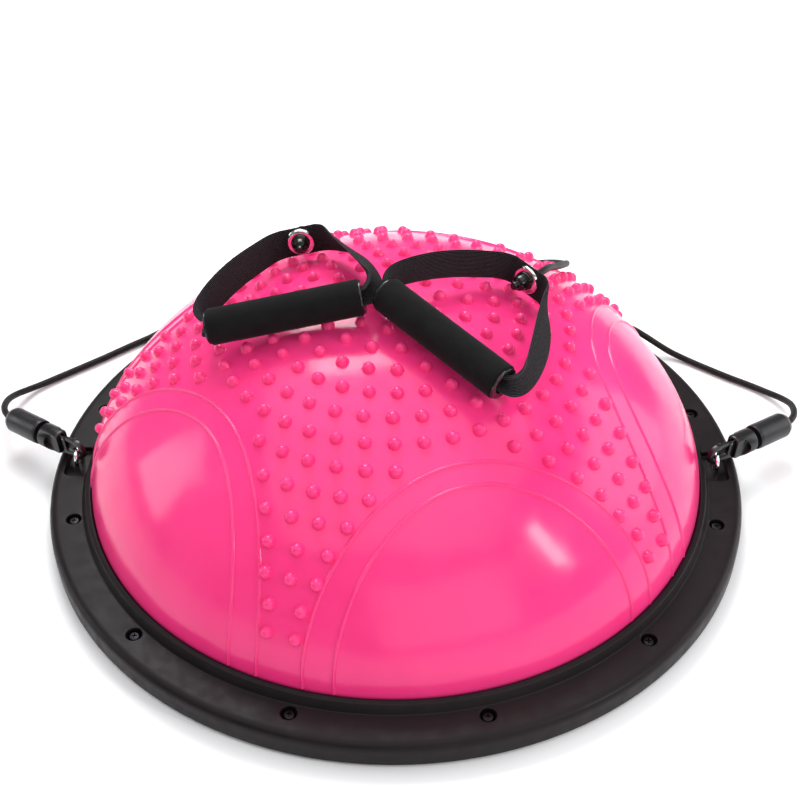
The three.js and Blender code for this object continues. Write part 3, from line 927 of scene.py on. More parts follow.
# ---------- cords ----------
@dataclass
class Cord:
    """A rubber cord from the hook's sleeve, along the floor and up the back of the dome to a grommet."""

    side: Side
    route: Sequence[tuple[float, float, float]]
    diameter: float = 5.8 * MM
    sides: int = 14
    steps: int = 420
    # where the cord starts to follow the hook, and how far from there it does so in full
    follow_from: tuple[float, float, float] = (0.330, 0.130, 0.02)
    follow_over: float = 42 * MM

    def build(self) -> tuple[bpy.types.Object, np.ndarray, float]:
        """Sweep the cord.

        Returns:
            The piece, its centre line and its length.
        """
        dense = smooth_path(np.array(self.route) * MM, 24)
        path, length = even_steps(dense, self.steps)
        piece = tube(f"cord_run_{self.side.value}", path, self.diameter / 2, self.sides, Slot.CORD)
        return piece, path, length

    def declare(self, piece: bpy.types.Object, path: np.ndarray, length: float,
                on_it: Sequence[bpy.types.Object]) -> None:
        """Bake the cord's place into its mesh, hide the CAD cord and log its length.

        Args:
            piece: The cord.
            path: Its centre line; not used.
            length: Its length.
            on_it: The pieces on it; not used.
        """
        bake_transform(piece)
        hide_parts(f"cord_{self.side.value}")
        LOG.info("%s: %.3f m long", piece.name, length)


ROUTES: dict[Side, Sequence[tuple[float, float, float]]] = {
    Side.LEFT: [
        (-338.4, 48.8, 29), (-343.8, 53.2, 28.3), (-349, 62, 26.7), (-352, 74, 23.6),
        (-352.5, 88, 18.6), (-349.8, 102, 12.6), (-344, 114.5, 7.4), (-335, 126, 4.2),
        (-322, 138, 3.2), (-304, 152.5, 3.2), (-285, 168, 3.2), (-262, 188, 3.2),
        (-240, 207, 3.2), (-225, 226, 3.2), (-215, 246, 3.2), (-206, 266, 3.2),
        (-195, 281, 3.2), (-180, 290, 3.2), (-164, 291, 3.2), (-151, 284, 5),
        (-142.5, 273, 11), (-137, 263, 19.5), (-132, 253, 27.5), (-126, 244, 33),
        (-121, 236, 43), (-117, 229, 59), (-112, 221, 80), (-105.5, 210, 101),
        (-98.5, 194, 121), (-93, 175, 138.5), (-88, 155, 153.5), (-84, 135, 169.5),
        (-81, 119, 181), (-79.4, 105, 189), (-78.6, 93.1, 192.3), (-78.2, 84.9, 193),
    ],
    Side.RIGHT: [
        (338.4, 48.8, 29), (343.8, 53.2, 28.3), (349.2, 62, 26.5), (352.5, 74, 23.4),
        (353.5, 88, 18.4), (352, 101, 12.4), (347.5, 113, 7.3), (339.5, 123.5, 4.2),
        (327, 134, 3.2), (309, 146, 3.2), (290, 160, 3.2), (273, 172.5, 3.7),
        (259, 180.5, 6.6), (247, 185.5, 12), (236, 189, 18), (224, 193, 23.6),
        (211, 198, 25.8), (178.7, 214.9, 25.9), (160.2, 229, 25.9), (140.6, 241.6, 25.9),
        (127.8, 246.3, 29.5), (117.8, 246.3, 37.4), (111, 243.4, 48.2), (108.6, 238.4, 59.9),
        (110, 229.6, 70.3), (123.4, 213.9, 84), (134.5, 196.5, 97), (142.9, 177.8, 109.5),
        (148.8, 158.6, 121), (147.5, 137, 135.8), (144.5, 121, 145.9), (140, 104.5, 155.8),
        (134.5, 87.5, 166), (128, 71, 176.2), (122.3, 55.5, 185.6), (117.5, 43, 191),
        (112, 34.2, 193.7), (106.4, 28.1, 194.6),
    ],
}


# ---------- dome ----------
@dataclass
class Dome:
    """The blown PVC dome: its skin, five arches in double lines, and rings of nubs."""

    radius: float = 253.3 * MM
    foot: float = 29.7 * MM
    side_power: float = 2.16
    crown_power: float = 1.70
    segments: int = 288
    rows: int = 110
    arches: int = 5
    ring_pitch: float = 20.9 * MM
    first_ring: float = 14.9 * MM
    nub_radius: float = 4.9 * MM
    nub_height: float = 5.7 * MM
    line_half: float = 1.6 * MM
    line_height: float = 1.35 * MM
    # half the width of each arch at its foot and the height of its crown
    arch_lines: tuple[tuple[float, float], ...] = ((134 * MM, 125 * MM), (114 * MM, 116.5 * MM))
    # number of nubs in each full ring, with the bearing of one of them
    full_rings: tuple[tuple[int, float], ...] = (
        (4, 20.0), (10, 12.0), (16, -83.6), (23, -87.2), (30, -87.5), (35, -89.4), (41, -1.0))
    # number of nubs in each ring between two arches, with their spacing in degrees
    part_rings: tuple[tuple[int, float], ...] = (
        (6, 7.8), (5, 6.65), (4, 6.15), (3, 6.2), (3, 5.0), (2, 5.95), (2, 5.05))
    rise: float = field(init=False)

    def __post_init__(self) -> None:
        """Take the rise from the CAD dome's top."""
        self.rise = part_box("dome_bladder")[1].z - self.foot

    def meridian(self, angle: float) -> tuple[float, float]:
        """Radius and height at an angle, from zero at the foot to a quarter turn at the top."""
        radius = self.radius * max(0.0, math.cos(angle)) ** (2 / self.side_power)
        return radius, self.foot + self.rise * math.sin(angle) ** (2 / self.crown_power)

    def radius_at(self, height: float) -> float:
        """Radius of the skin at a height."""
        sine = min(1.0, max(0.0, (height - self.foot) / self.rise)) ** (self.crown_power / 2)
        return self.radius * math.sqrt(1 - sine * sine) ** (2 / self.side_power)

    @staticmethod
    def bearing(radius: float, height: float, degrees: float) -> Vector:
        """The point at a bearing: zero lies on +X, and positive turns towards +Y."""
        turn = math.radians(degrees)
        return Vector((radius * math.cos(turn), radius * math.sin(turn), height))

    def normal(self, point: Vector) -> Vector:
        """The direction off the skin at a point on it.

        Args:
            point: The point.

        Returns:
            A unit vector.
        """
        step = 0.2 * MM
        low = self.radius_at(point.z - step)
        high = self.radius_at(min(point.z + step, self.foot + self.rise))
        flat = Vector((point.x, point.y, 0))
        if flat.length < 1e-6:
            return Vector((0, 0, 1))
        slope = (high - low) / (2 * step)
        return (flat.normalized() + Vector((0, 0, -slope))).normalized()

    def skin(self) -> bpy.types.Object:
        """The smooth skin, its foot tucked behind the ring, and its flat underside.

        Returns:
            The piece.
        """
        profile = [self.meridian(math.pi / 2 * (1 - (k / self.rows) ** 1.15)) for k in range(self.rows + 1)]
        profile[0] = (0.0, profile[0][1])
        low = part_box("base_plate")[1].z + 0.3 * MM
        profile += [(self.radius, 24 * MM), (self.radius, 17 * MM), (self.radius - 3 * MM, low), (0.0, low)]
        return turned("dome_skin", profile, self.segments, Slot.DOME, crease=60.0)

    def arch_line(self, centre: float, half: float, crown: float) -> list[tuple[Vector, Vector]]:
        """One raised line of an arch.

        Args:
            centre: Bearing of the arch's middle.
            half: Half its width at the foot.
            crown: Height of its top.

        Returns:
            Points on the skin, each with the direction off it.
        """
        foot, steps = self.foot + 0.8 * MM, 150
        line = []
        for k in range(steps + 1):
            turn = math.pi * k / steps
            height = foot + crown * math.sin(turn)
            radius = self.radius_at(height)
            aside = half * math.cos(turn)
            bearing = centre + math.degrees(math.asin(aside / radius))
            point = self.bearing(radius, height, bearing)
            line.append((point, self.normal(point)))
        return line

    def lines(self) -> bpy.types.Object:
        """All arches' lines: low beads with a soft foot, each a closed strip sunk into the skin.

        Returns:
            The piece.
        """
        w, h = self.line_half, self.line_height
        section = [(-1.25 * w, -0.5 * h), (-0.85 * w, 0.1 * h), (-0.45 * w, 0.75 * h), (0, h),
                   (0.45 * w, 0.75 * h), (0.85 * w, 0.1 * h), (1.25 * w, -0.5 * h)]
        corners, faces = [], []
        for k in range(self.arches):
            for half, crown in self.arch_lines:
                line = self.arch_line(360 / self.arches * k, half, crown)
                base = len(corners)
                for j, (point, off) in enumerate(line):
                    ahead = line[min(j + 1, len(line) - 1)][0] - line[max(j - 1, 0)][0]
                    side = ahead.cross(off).normalized()
                    corners += [point + a * side + b * off for a, b in section]
                n = len(section)
                for j in range(len(line) - 1):
                    for s in range(n):
                        r = (s + 1) % n
                        faces.append((base + j * n + s, base + j * n + r, base + (j + 1) * n + r,
                                      base + (j + 1) * n + s))
                faces.append(tuple(base + s for s in range(n)))
                faces.append(tuple(base + (len(line) - 1) * n + s for s in range(n)))
        return mesh_piece("dome_arch_lines", corners, faces, Slot.DOME, 70.0)

    def ring_place(self, ring: int) -> tuple[float, float]:
        """Radius and height of a ring, measured along the skin from the top.

        Args:
            ring: The ring's number, from zero at the top.

        Returns:
            The ring's radius and height.
        """
        wanted = self.first_ring + self.ring_pitch * ring
        previous, run, steps = self.meridian(math.pi / 2), 0.0, 4000
        for k in range(1, steps + 1):
            current = self.meridian(math.pi / 2 * (1 - k / steps))
            run += math.dist(previous, current)
            if run >= wanted:
                return current
            previous = current
        return previous

    def nub_shape(self) -> bpy.types.Object:
        """One nub: a blunt bullet with a small fillet at its foot.

        Returns:
            The nub, standing on the origin.
        """
        r, h = self.nub_radius, self.nub_height
        profile = [(0.0, h), (0.38 * r, 0.94 * h), (0.7 * r, 0.74 * h), (0.91 * r, 0.45 * h),
                   (1.0 * r, 0.15 * h), (1.12 * r, -0.04 * h), (1.12 * r, -0.2 * h), (0.0, -0.22 * h)]
        return turned("nub", profile, 10, Slot.DOME, crease=80.0)

    def nubs(self) -> bpy.types.Object:
        """All nubs: full rings over the crown, short rows between the arches below it.

        Returns:
            The piece.
        """
        points = []
        for ring, (count, first) in enumerate(self.full_rings):
            radius, height = self.ring_place(ring)
            points += [self.bearing(radius, height, first + 360 / count * k) for k in range(count)]
        sector = 360 / self.arches
        for row, (count, gap) in enumerate(self.part_rings):
            radius, height = self.ring_place(len(self.full_rings) + row)
            for k in range(self.arches):
                first = sector * (k + 0.5) - gap * (count - 1) / 2
                points += [self.bearing(radius, height, first + gap * j) for j in range(count)]
        scatter = Scatter("dome_nubs", self.nub_shape(), Slot.DOME, spread=0.035)
        return scatter.build(points, [self.normal(p) for p in points], crease=80.0)

    def build(self) -> None:
        """Make the dome's pieces."""
        settle(self.skin(), "base", Slot.DOME, "dome_bladder")
        settle(self.lines(), "base", Slot.DOME)
        settle(self.nubs(), "base", Slot.DOME)


# ---------- base ----------
@dataclass
class Base:
    """The clamp ring with its wells, and the screws in them."""

    radius: float = 290 * MM
    rim_top: float = 22.2 * MM
    lip_top: float = 30.2 * MM
    bore: float = 253.6 * MM
    screw_circle: float = 270 * MM
    screws: int = 12
    first_screw: float = 15.0
    well_radius: float = 6 * MM
    well_floor: float = 17.2 * MM
    eye_circle: float = 270 * MM
    pocket_half: tuple[float, float] = (10.5 * MM, 18 * MM)
    pocket_corner: float = 6 * MM
    pocket_floor: float = 16.6 * MM

    def ring(self) -> bpy.types.Object:
        """The ring: a rounded rim, a flat top and a lip that holds the dome.

        Returns:
            The piece.
        """
        skirt = self.radius - 4 * MM
        corners = [(self.bore, 16.3 * MM, 0), (258.3 * MM, 16.3 * MM, 0), (258.3 * MM, 12.3 * MM, 0),
                   (skirt, 12.3 * MM, 1 * MM), (skirt, 2 * MM, 0.8 * MM),
                   (self.radius - 0.4 * MM, 2 * MM, 1.2 * MM),
                   (self.radius, self.rim_top, 7.5 * MM), (262.4 * MM, self.rim_top, 1.2 * MM),
                   (259.2 * MM, self.lip_top - 0.9 * MM, 1.6 * MM), (255.2 * MM, self.lip_top, 1.4 * MM),
                   (self.bore, self.lip_top - 1.6 * MM, 0.8 * MM)]
        profile = rounded(corners, closed=True, steps=7)
        piece = turned("rim_ring", profile, 240, Slot.BASE, closed=True, crease=40.0)
        cut_away(piece, [*self.wells(), *self.pockets()], Slot.BASE, crease=24.0)
        return piece

    def screw_points(self) -> list[Vector]:
        """Where the screws stand, at the floor of their wells."""
        turns = [math.radians(self.first_screw + 360 / self.screws * k) for k in range(self.screws)]
        return [Vector((self.screw_circle * math.cos(t), self.screw_circle * math.sin(t), self.well_floor))
                for t in turns]

    def wells(self) -> list[bpy.types.Object]:
        """Cutters for the screw wells, each with a softened mouth.

        Returns:
            One cutter for each screw.
        """
        high, soft = self.rim_top, 0.7 * MM
        r = self.well_radius
        profile = [(0, self.well_floor), (r, self.well_floor), (r, high - soft),
                   (r + 0.2 * MM, high - 0.3 * MM), (r + soft, high + 0.05 * MM),
                   (r + soft, high + 3 * MM), (0, high + 3 * MM)]
        made = []
        for k, spot in enumerate(self.screw_points()):
            place = Placement(Vector((spot.x, spot.y, 0)), WORLD.x, WORLD.y, WORLD.z)
            made.append(turned(f"well_{k}", profile, 28, Slot.BASE, place))
        return made

    def pockets(self) -> list[bpy.types.Object]:
        """Cutters for the two wells that the eyes stand in.

        Returns:
            Two cutters.
        """
        made = []
        for out in (-1, 1):
            outlines = []
            floor, top = self.pocket_floor, self.rim_top
            levels = ((floor, -0.8), (floor + 0.8 * MM, 0.0), (top - 0.8 * MM, 0.0),
                      (top - 0.3 * MM, 0.25), (top + 0.05 * MM, 0.8), (top + 12 * MM, 0.8))
            for height, grow in levels:
                outlines.append(self.pocket_outline(out * self.eye_circle, height, grow * MM))
            made.append(stacked(f"pocket_{out}", outlines, Slot.BASE))
        return made

    def pocket_outline(self, middle: float, height: float, grow: float) -> list[Vector]:
        """A rounded rectangle round an eye.

        Args:
            middle: X of its middle.
            height: Z of its corners.
            grow: How much larger than the pocket it is.

        Returns:
            The outline's corners.
        """
        bend = self.pocket_corner + grow
        reach = [half + grow - bend for half in self.pocket_half]
        outline = []
        for quarter, (sx, sy) in enumerate(((1, 1), (-1, 1), (-1, -1), (1, -1))):
            for j in range(7):
                turn = math.pi / 2 * (quarter + j / 6)
                outline.append(Vector((middle + sx * reach[0] + bend * math.cos(turn),
                                       sy * reach[1] + bend * math.sin(turn), height)))
        return outline

    def screw_shape(self) -> bpy.types.Object:
        """A pan head with a cross recess, standing on its well's floor.

        Returns:
            The head, at the origin.
        """
        corners = [(0, 3.5 * MM, 0), (3.6 * MM, 3.3 * MM, 1.5 * MM), (5.2 * MM, 1.6 * MM, 1.0 * MM),
                   (5.2 * MM, 0.3 * MM, 0.2 * MM), (0, 0.3 * MM, 0)]
        head = turned("screw_head", rounded(corners, closed=False, steps=4), 24, Slot.SCREW)
        long, thin = 2.3 * MM, 0.45 * MM
        arms = [block("arm_x", WORLD, (-long, -thin, 1.6 * MM), (long, thin, 6 * MM)),
                block("arm_y", WORLD, (-thin, -long, 1.6 * MM), (thin, long, 6 * MM))]
        cut_away(head, arms, Slot.SCREW)
        return head

    def build(self) -> None:
        """Make the ring and its screws."""
        settle(self.ring(), "base", Slot.BASE, "clamp_ring")
        nodes = [f"clamp_screw_{k + 1:02d}" for k in range(self.screws)]
        screws = Scatter("rim_screws", self.screw_shape(), Slot.SCREW).build(
            self.screw_points(), [Vector((0, 0, 1))] * self.screws)
        settle(screws, "base", Slot.SCREW, *nodes)
        for node, slot in (("base_plate", Slot.BASE), ("valve_plug", Slot.PLUG)):
            dress(node, slot)
        for side in Side:
            for end in ("front", "back"):
                dress(f"eye_nut_{side.value}_{end}", Slot.NUT)


def dress(node: str, slot: Slot) -> None:
    """Give a CAD node that stays visible its finish."""
    materials = frame["nodes"][node].data.materials
    for k in range(len(materials)):
        materials[k] = MATERIALS[slot]


# ---------- hooks ----------
@dataclass
class Tether:
    """One side's chromed eye, and the snap hook with its gate, pin and sleeve."""

    side: Side
    wire: float = 1.8 * MM
    leg: float = 8.5 * MM
    bend: float = 6.2 * MM
    loop_half: float = 9.4 * MM
    hole_half: float = 5.0 * MM
    nose: float = 0.1 * MM
    thick: float = 2.2 * MM
    reach: float = 18 * MM
    collar_radius: float = 10.4 * MM
    collar_end: float = 40 * MM
    sleeve_start: float = 44 * MM
    sleeve_end: float = 84 * MM
    sleeve_radius: float = 11 * MM
    gate_start: float = 4.2 * MM
    pin: tuple[float, float] = (15 * MM, 6 * MM)
    place: Placement = field(init=False)

    def __post_init__(self) -> None:
        """Take the hook's place from its joints: X along it, Y across it, Z across its loop."""
        origin = Vector(RECORD_JOINTS[f"tether_lift_{self.side.value}"]["pos_m"])
        along = Vector(RECORD_JOINTS[f"sleeve_swivel_{self.side.value}"]["axis"]).normalized()
        across = Vector((0, 0, 1)).cross(along).normalized()
        self.place = Placement(origin, along, across, along.cross(across))

    def on_axis(self) -> Placement:
        """The same place with Z along the hook, for turned shapes."""
        return Placement(self.place.origin, self.place.y, self.place.z, self.place.x)

    def eye(self) -> bpy.types.Object:
        """The chromed wire: two legs and a round bar.

        Returns:
            The piece.
        """
        low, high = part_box(f"cord_eye_{self.side.value}")
        top = high.z - self.wire
        points = [(0.0, -self.leg, low.z), (0.0, -self.leg, 0.012), (0.0, -self.leg, top - self.bend)]
        for k in range(1, 24):
            turn = math.pi * k / 24
            reach = self.leg - self.bend
            y = -math.cos(turn) * self.bend + (-reach if turn < math.pi / 2 else reach)
            points.append((0.0, y, top - self.bend + self.bend * math.sin(turn)))
        points += [(0.0, self.leg, top - self.bend), (0.0, self.leg, 0.012), (0.0, self.leg, low.z)]
        path, _ = even_steps(smooth_path(points, 6), 120)
        path[:, 0] += self.place.origin.x
        return tube(f"eye_{self.side.value}", path, self.wire, 20, Slot.EYE)

    def plate(self, outline: Sequence[tuple[float, float]], half: float, name: str,
              edge: float) -> bpy.types.Object:
        """A flat plate in the hook's own X and Z with softened edges.

        Args:
            outline: X and Z of each corner.
            half: Half its thickness.
            name: The piece's name.
            edge: How far its edges are rounded.

        Returns:
            The piece.
        """
        sides = [[self.place.at(x, y, z) for x, z in outline] for y in (-half, half)]
        piece = stacked(name, sides, Slot.HOOK)
        soften(piece, edge, 40, Slot.HOOK)
        return piece

    def arc(self, radius: float, start: float, stop: float, steps: int) -> list[tuple[float, float]]:
        """Points round the loop's nose, by angles in degrees from the hook's X."""
        turns = [math.radians(start + (stop - start) * k / steps) for k in range(steps + 1)]
        return [(self.nose + radius * math.cos(t), radius * math.sin(t)) for t in turns]

    def hook(self) -> bpy.types.Object:
        """The loop with its open side, the flatted collar and the swivel neck, as one moulding.

        Returns:
            The piece.
        """
        root = self.reach + 2 * MM
        outline = [(root, -self.loop_half), (root, self.loop_half), (12.6 * MM, self.loop_half),
                   (12.6 * MM, -self.hole_half), *self.arc(self.hole_half, 270, 90, 14),
                   (3.6 * MM, self.hole_half), (3.6 * MM, self.loop_half),
                   *self.arc(self.loop_half, 90, 270, 22)]
        loop = self.plate(outline, self.thick, f"hook_loop_{self.side.value}", 0.7 * MM)
        slot = block("gate_slot", self.place, (12 * MM, -1.6 * MM, -1 * MM), (self.reach, 1.6 * MM, 11 * MM))
        cut_away(loop, [slot], Slot.HOOK, crease=40.0)
        collar = self.collar()
        modifier = loop.modifiers.new("join", "BOOLEAN")
        modifier.operation = "UNION"
        modifier.object = collar
        apply_modifiers(loop)
        bpy.data.objects.remove(collar)
        finish_shading(loop, Slot.HOOK, 38.0)
        loop.name = f"hook_body_{self.side.value}"
        return loop

    def collar(self) -> bpy.types.Object:
        """The collar, with two flats where the loop leaves it, and the neck that the sleeve turns on.

        Returns:
            The collar, to be joined to the loop.
        """
        r, start, end = self.collar_radius, self.reach, self.collar_end
        corners = [(0, start, 0), (r, start, 2.6 * MM), (r, end, 1.2 * MM), (3 * MM, end, 0.6 * MM),
                   (3 * MM, 48.4 * MM, 0), (5.2 * MM, 48.4 * MM, 0.4 * MM), (5.2 * MM, 51.8 * MM, 0.6 * MM),
                   (0, 52 * MM, 0)]
        collar = turned("collar", rounded(corners, closed=False, steps=4), 48, Slot.HOOK, self.on_axis())
        cut_away(collar, [self.flat(-1), self.flat(1)], Slot.HOOK)
        soften(collar, 0.45 * MM, 28, Slot.HOOK)
        return collar

    def flat(self, side: int) -> bpy.types.Object:
        """A round cutter that leaves one D-shaped flat on the collar.

        Args:
            side: Minus one or one, for the side of the collar.

        Returns:
            The cutter.
        """
        low, far, reach = 5.6 * MM, 15 * MM, 10.2 * MM
        place = Placement(self.place.at(self.reach + 3 * MM, 0, 0), self.place.x, side * self.place.z,
                          side * self.place.y)
        return turned(f"flat_{side}", [(0, low), (reach, low), (reach, far), (0, far)], 48, Slot.HOOK, place)

    def gate(self) -> bpy.types.Object:
        """The sprung gate, rounded about its pin.

        Returns:
            The piece.
        """
        (px, pz), eye = self.pin, 1.8 * MM
        turns = [math.radians(-135 + 225 * k / 8) for k in range(9)]
        outline = [(self.gate_start, self.hole_half), (px - 1.2 * MM, self.hole_half),
                   *[(px + eye * math.cos(t), pz + eye * math.sin(t)) for t in turns],
                   (self.gate_start, self.loop_half - 0.2 * MM)]
        return self.plate(outline, 1.3 * MM, f"hook_latch_{self.side.value}", 0.35 * MM)

    def gate_pin(self) -> bpy.types.Object:
        """The rivet that the gate turns on, with domed ends.

        Returns:
            The piece.
        """
        corners = [(0, -2.55 * MM, 0), (0.8 * MM, -2.5 * MM, 0.4 * MM), (0.8 * MM, 2.5 * MM, 0.4 * MM),
                   (0, 2.55 * MM, 0)]
        middle = self.place.at(self.pin[0], 0, self.pin[1])
        place = Placement(middle, self.place.x, -self.place.z, self.place.y)
        return turned(f"latch_rivet_{self.side.value}", rounded(corners, closed=False), 16, Slot.NUT, place)

    def sleeve(self) -> bpy.types.Object:
        """The sleeve that grips the cord, with rounded ends.

        Returns:
            The piece.
        """
        r, start, end = self.sleeve_radius, self.sleeve_start, self.sleeve_end
        corners = [(3.3 * MM, start, 0), (r - 0.3 * MM, start, 1.3 * MM), (r, start + 3 * MM, 2 * MM),
                   (r, end - 5 * MM, 3 * MM), (r - 2.2 * MM, end - 0.6 * MM, 1.8 * MM),
                   (3.6 * MM, end, 0.8 * MM), (3.2 * MM, end - 0.8 * MM, 0), (0, end - 0.8 * MM, 0),
                   (0, start + 12 * MM, 0), (5.6 * MM, start + 12 * MM, 0), (5.6 * MM, start + 4 * MM, 0),
                   (3.3 * MM, start + 4 * MM, 0)]
        profile = rounded(corners, closed=True, steps=6)
        return turned(f"sleeve_{self.side.value}", profile, 64, Slot.SLEEVE, self.on_axis(), closed=True)

    def build(self) -> bpy.types.Object:
        """Make the side's metal and plastic.

        Returns:
            The sleeve, which goes with the cord.
        """
        name = self.side.value
        settle(self.eye(), "base", Slot.EYE, f"cord_eye_{name}")
        settle(self.hook(), f"tether_{name}", Slot.HOOK, f"hook_{name}")
        settle(self.gate(), f"gate_{name}", Slot.HOOK, f"hook_gate_{name}")
        settle(self.gate_pin(), f"tether_{name}", Slot.NUT, f"gate_pin_{name}")
        return settle(self.sleeve(), f"sleeve_{name}", Slot.SLEEVE, f"cord_sleeve_{name}")


# ---------- handles ----------
@dataclass
class Handle:
    """One grip: a foam tube on a core, a loop of webbing, a grommet and the cord's stopper."""

    side: Side
    grip_half: float = 58.5 * MM
    grip_radius: float = 14 * MM
    core_radius: float = 10.2 * MM
    core_bore: float = 8.2 * MM
    web_width: float = 25 * MM
    web_thick: float = 2.0 * MM
    web_curl: float = 6.4 * MM
    web_lean: float = math.radians(38)
    rib_pitch: float = 1.3 * MM
    rib_height: float = 0.17 * MM
    place: Placement = field(init=False)
    shift: float = field(init=False)
    apex: float = field(init=False)

    def __post_init__(self) -> None:
        """Take the grip's place from its joints: X along it, Y towards the grommet, Z off the dome."""
        spin = RECORD_JOINTS[f"grip_spin_{self.side.value}"]
        hinge = Vector(RECORD_JOINTS[f"handle_lift_{self.side.value}"]["pos_m"])
        origin, along = Vector(spin["pos_m"]), Vector(spin["axis"]).normalized()
        self.shift = (hinge - origin).dot(along)
        pull = hinge - origin - self.shift * along
        self.apex = pull.length
        pull.normalize()
        self.place = Placement(origin, along, pull, along.cross(pull))

    def line(self) -> np.ndarray:
        """The webbing's centre line once round, with how far it is curled, and how far it leans.

        Returns:
            Rows of X, Y, Z, curl and lean.
        """
        half = [(0, 0, 0, 1, 0), (25, 0, 0, 1, 0), (52, 0, 0, 1, 0), (60.5, 0.4, 0, 0.95, 0),
                (65, 4.5, 0.5, 0.7, 0.1), (67.5, 12, 1.2, 0.4, 0.35), (66.5, 24, 2.4, 0.12, 0.7),
                (59, 45, 4.2, 0, 1), (46, 70, 4.6, 0, 1), (32, 93, 2.6, 0, 0.6), (22.5, 106.5, 1, 0, 0.15)]
        top = [(x, 112, 0, 0, 0) for x in (14.5, 11, 0, -11, -14.5)]
        far = [(-x, y, z, curl, -0.15 * lean) for x, y, z, curl, lean in reversed(half[1:])]
        points = np.array([*half, *top, *far], float)
        points[:, :3] *= MM
        points[:, 0] += self.shift * points[:, 1] / self.apex
        return points

    def webbing(self) -> bpy.types.Object:
        """The ribbed strap, standing on its edge and curling where it runs into the tube.

        Returns:
            The piece.
        """
        dense = smooth_path(self.line(), 40, closed=True)
        _, length = even_steps(dense, 8, closed=True)
        ribs = round(length / self.rib_pitch)
        count = ribs * 4
        path, _ = even_steps(dense, count, closed=True)
        forward = np.roll(path[:, :3], -1, axis=0) - np.roll(path[:, :3], 1, axis=0)
        forward[:, 2] = 0
        forward /= np.linalg.norm(forward, axis=1)[:, None]
        across = 13
        half, thin = self.web_width / 2, self.web_thick / 2
        section = [(-half + self.web_width * k / (across - 1), 1) for k in range(across)]
        section += [(v, -1) for v, _ in reversed(section)]
        corners = []
        for k, (x, y, z, curl, lean) in enumerate(path):
            out = Vector((forward[k][1], -forward[k][0], 0))
            curl = min(1.0, max(0.0, curl))
            rib = self.rib_height * math.cos(2 * math.pi * ribs * k / count)
            bend = self.web_curl / max(curl, 1e-4)
            tip, rest = math.sin(lean * self.web_lean), math.cos(lean * self.web_lean)
            for v, face in section:
                edge = max(0.0, (abs(v) - half + thin) / thin)
                deep = thin * math.sqrt(max(0.05, 1 - edge * edge)) + (rib if face > 0 else -rib)
                turn = v / bend
                side = bend * (1 - math.cos(turn)) - curl * self.web_curl - face * deep * math.cos(turn)
                rise = bend * math.sin(turn) + face * deep * math.sin(turn)
                side, rise = side * rest - rise * tip, side * tip + rise * rest
                corners.append(self.place.at(x + side * out.x, y + side * out.y, z + rise))
        n = len(section)
        faces = []
        for k in range(count):
            for s in range(n):
                r, ahead = (s + 1) % n, (k + 1) % count
                faces.append((k * n + s, k * n + r, ahead * n + r, ahead * n + s))
        piece = mesh_piece(f"strap_{self.side.value}", corners, faces, Slot.WEBBING, 70.0)
        pitch = length / count
        map_corners(piece, lambda index: ((index // n) * pitch, section[index % n][0]))
        LOG.info("%s: %.3f m round", piece.name, length)
        hole = turned("strap_hole", [(0, -4 * MM), (8.0 * MM, -4 * MM), (8.0 * MM, 4 * MM), (0, 4 * MM)], 40,
                      Slot.WEBBING, self.on_cord())
        cut_away(piece, [hole], Slot.WEBBING, crease=60.0)
        return piece

    def on_cord(self) -> Placement:
        """The place of the grommet, with Z towards the cord."""
        centre = self.place.at(self.shift, self.apex, 0)
        return Placement(centre, self.place.z, self.place.x, self.place.y)

    def grommet(self) -> bpy.types.Object:
        """A rolled two-part eyelet.

        Returns:
            The piece.
        """
        face = 1.4 * MM
        half = [(5.4, face / MM + 0.7, 0.8), (7.6, face / MM + 2.1, 1.6), (10.4, face / MM + 1.8, 1.6),
                (12.0, face / MM, 0.4), (7.4, face / MM, 0)]
        corners = [(r * MM, z * MM, b * MM) for r, z, b in half]
        corners += [(r, -z, b) for r, z, b in reversed(corners)]
        return turned(f"eyelet_{self.side.value}", rounded(corners, closed=True, steps=5), 64, Slot.GROMMET,
                      self.on_cord(), closed=True, crease=50.0)

    def stopper(self) -> bpy.types.Object:
        """The glossy plug on the cord's end: a flange, a ball and a small knob.

        Returns:
            The piece.
        """
        seat = -(1.1 + 0.6 + 2.0)
        corners = [(0, seat - 14, 0), (2.9, seat - 14, 1.0), (3.4, seat - 12.2, 0.8), (2.7, seat - 9.8, 0.6),
                   (5.6, seat - 8.2, 1.6), (6.6, seat - 5.0, 2.0), (5.9, seat - 2.2, 0.6),
                   (7.6, seat - 1.7, 0.7), (7.6, seat, 0.4), (2.9, seat, 0), (2.9, 3.4, 0), (0, 3.4, 0)]
        scaled = [(r * MM, z * MM, b * MM) for r, z, b in corners]
        return turned(f"stopper_{self.side.value}", rounded(scaled, closed=False, steps=5), 48, Slot.STOPPER,
                      self.on_cord(), crease=50.0)

    def on_grip(self) -> Placement:
        """The grip's place with Z along it."""
        return Placement(self.place.origin, self.place.y, self.place.z, self.place.x)

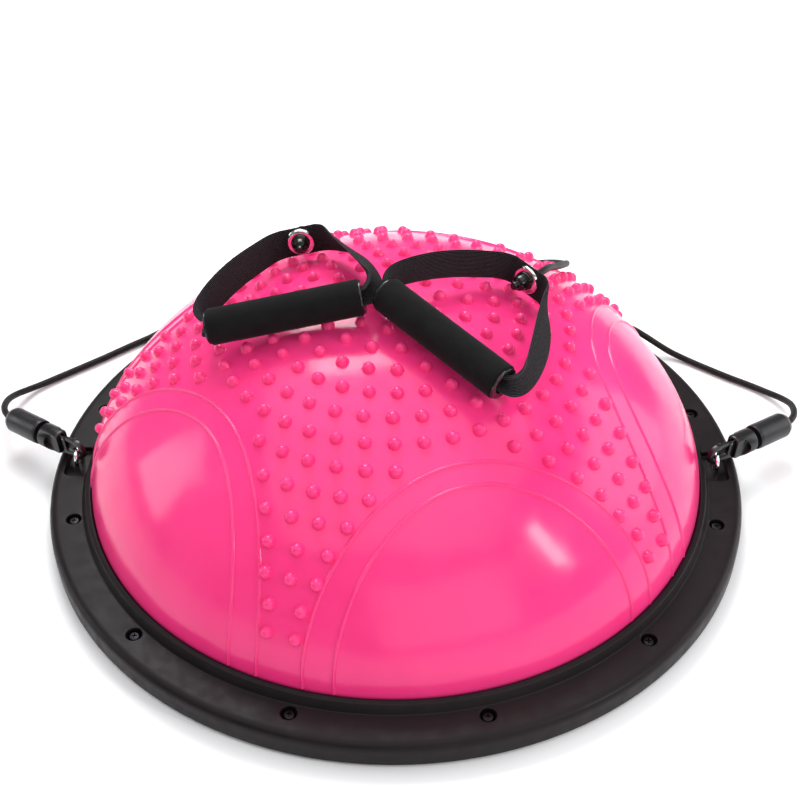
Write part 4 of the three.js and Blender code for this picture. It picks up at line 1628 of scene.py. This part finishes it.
    def core(self) -> bpy.types.Object:
        """The core tube with a glossy flange at each end.

        Returns:
            The piece.
        """
        lip, near, far = self.grip_radius - 1.2 * MM, self.grip_half + 0.2 * MM, self.grip_half + 2 * MM
        half = [(self.core_radius, near, 0.2 * MM), (lip, near, 0.5 * MM), (lip, far, 0.7 * MM),
                (self.core_bore, far, 0.7 * MM)]
        corners = half + [(r, -z, b) for r, z, b in reversed(half)]
        return turned(f"grip_core_{self.side.value}", rounded(corners, closed=True, steps=4), 56, Slot.CORE,
                      self.on_grip(), closed=True)

    def foam(self) -> bpy.types.Object:
        """The foam tube, a little uneven as soft foam is.

        Returns:
            The piece.
        """
        inner, r, end = self.core_radius + 0.3 * MM, self.grip_radius, self.grip_half
        rows = 40
        outer = [(r, end - 3 * MM - (2 * end - 6 * MM) * k / rows, 0) for k in range(rows + 1)]
        corners = [(inner, end, 0), (r, end, 2.4 * MM), *outer, (r, -end, 2.4 * MM), (inner, -end, 0)]
        piece = turned(f"grip_foam_{self.side.value}", rounded(corners, closed=True, steps=5), 64, Slot.FOAM,
                       self.on_grip(), closed=True)
        for vertex in piece.data.vertices:
            local = vertex.co - self.place.origin
            flat = local - self.place.x * local.dot(self.place.x)
            if flat.length > inner + 1 * MM:
                vertex.co += flat.normalized() * 0.12 * MM * noise.noise(vertex.co / (9 * MM))
        return piece

    def build(self) -> bpy.types.Object:
        """Make the handle.

        Returns:
            The stopper, which goes with the cord.
        """
        name = self.side.value
        settle(self.foam(), f"grip_{name}", Slot.FOAM, f"foam_grip_{name}")
        settle(self.core(), f"grip_{name}", Slot.CORE, f"core_tube_{name}")
        settle(self.webbing(), f"handle_{name}", Slot.WEBBING, f"webbing_{name}")
        settle(self.grommet(), f"handle_{name}", Slot.GROMMET, f"grommet_{name}")
        return settle(self.stopper(), f"handle_{name}", Slot.STOPPER, f"cord_stopper_{name}")


def main() -> None:
    """Build the studio and the trainer, piece by piece."""
    logging.basicConfig(level=logging.INFO, format="%(message)s")
    for slot, finish in FINISHES.items():
        MATERIALS[slot] = finish.make()
    Studio().build()
    cords = {side: Cord(side, ROUTES[side]) for side in Side}
    runs = {side: cord.build() for side, cord in cords.items()}
    for side in Side:
        on_it = [Tether(side).build(), Handle(side).build()]
        cords[side].declare(*runs[side], on_it)
    Base().build()
    Dome().build()


if __name__ == "__main__":
    main()
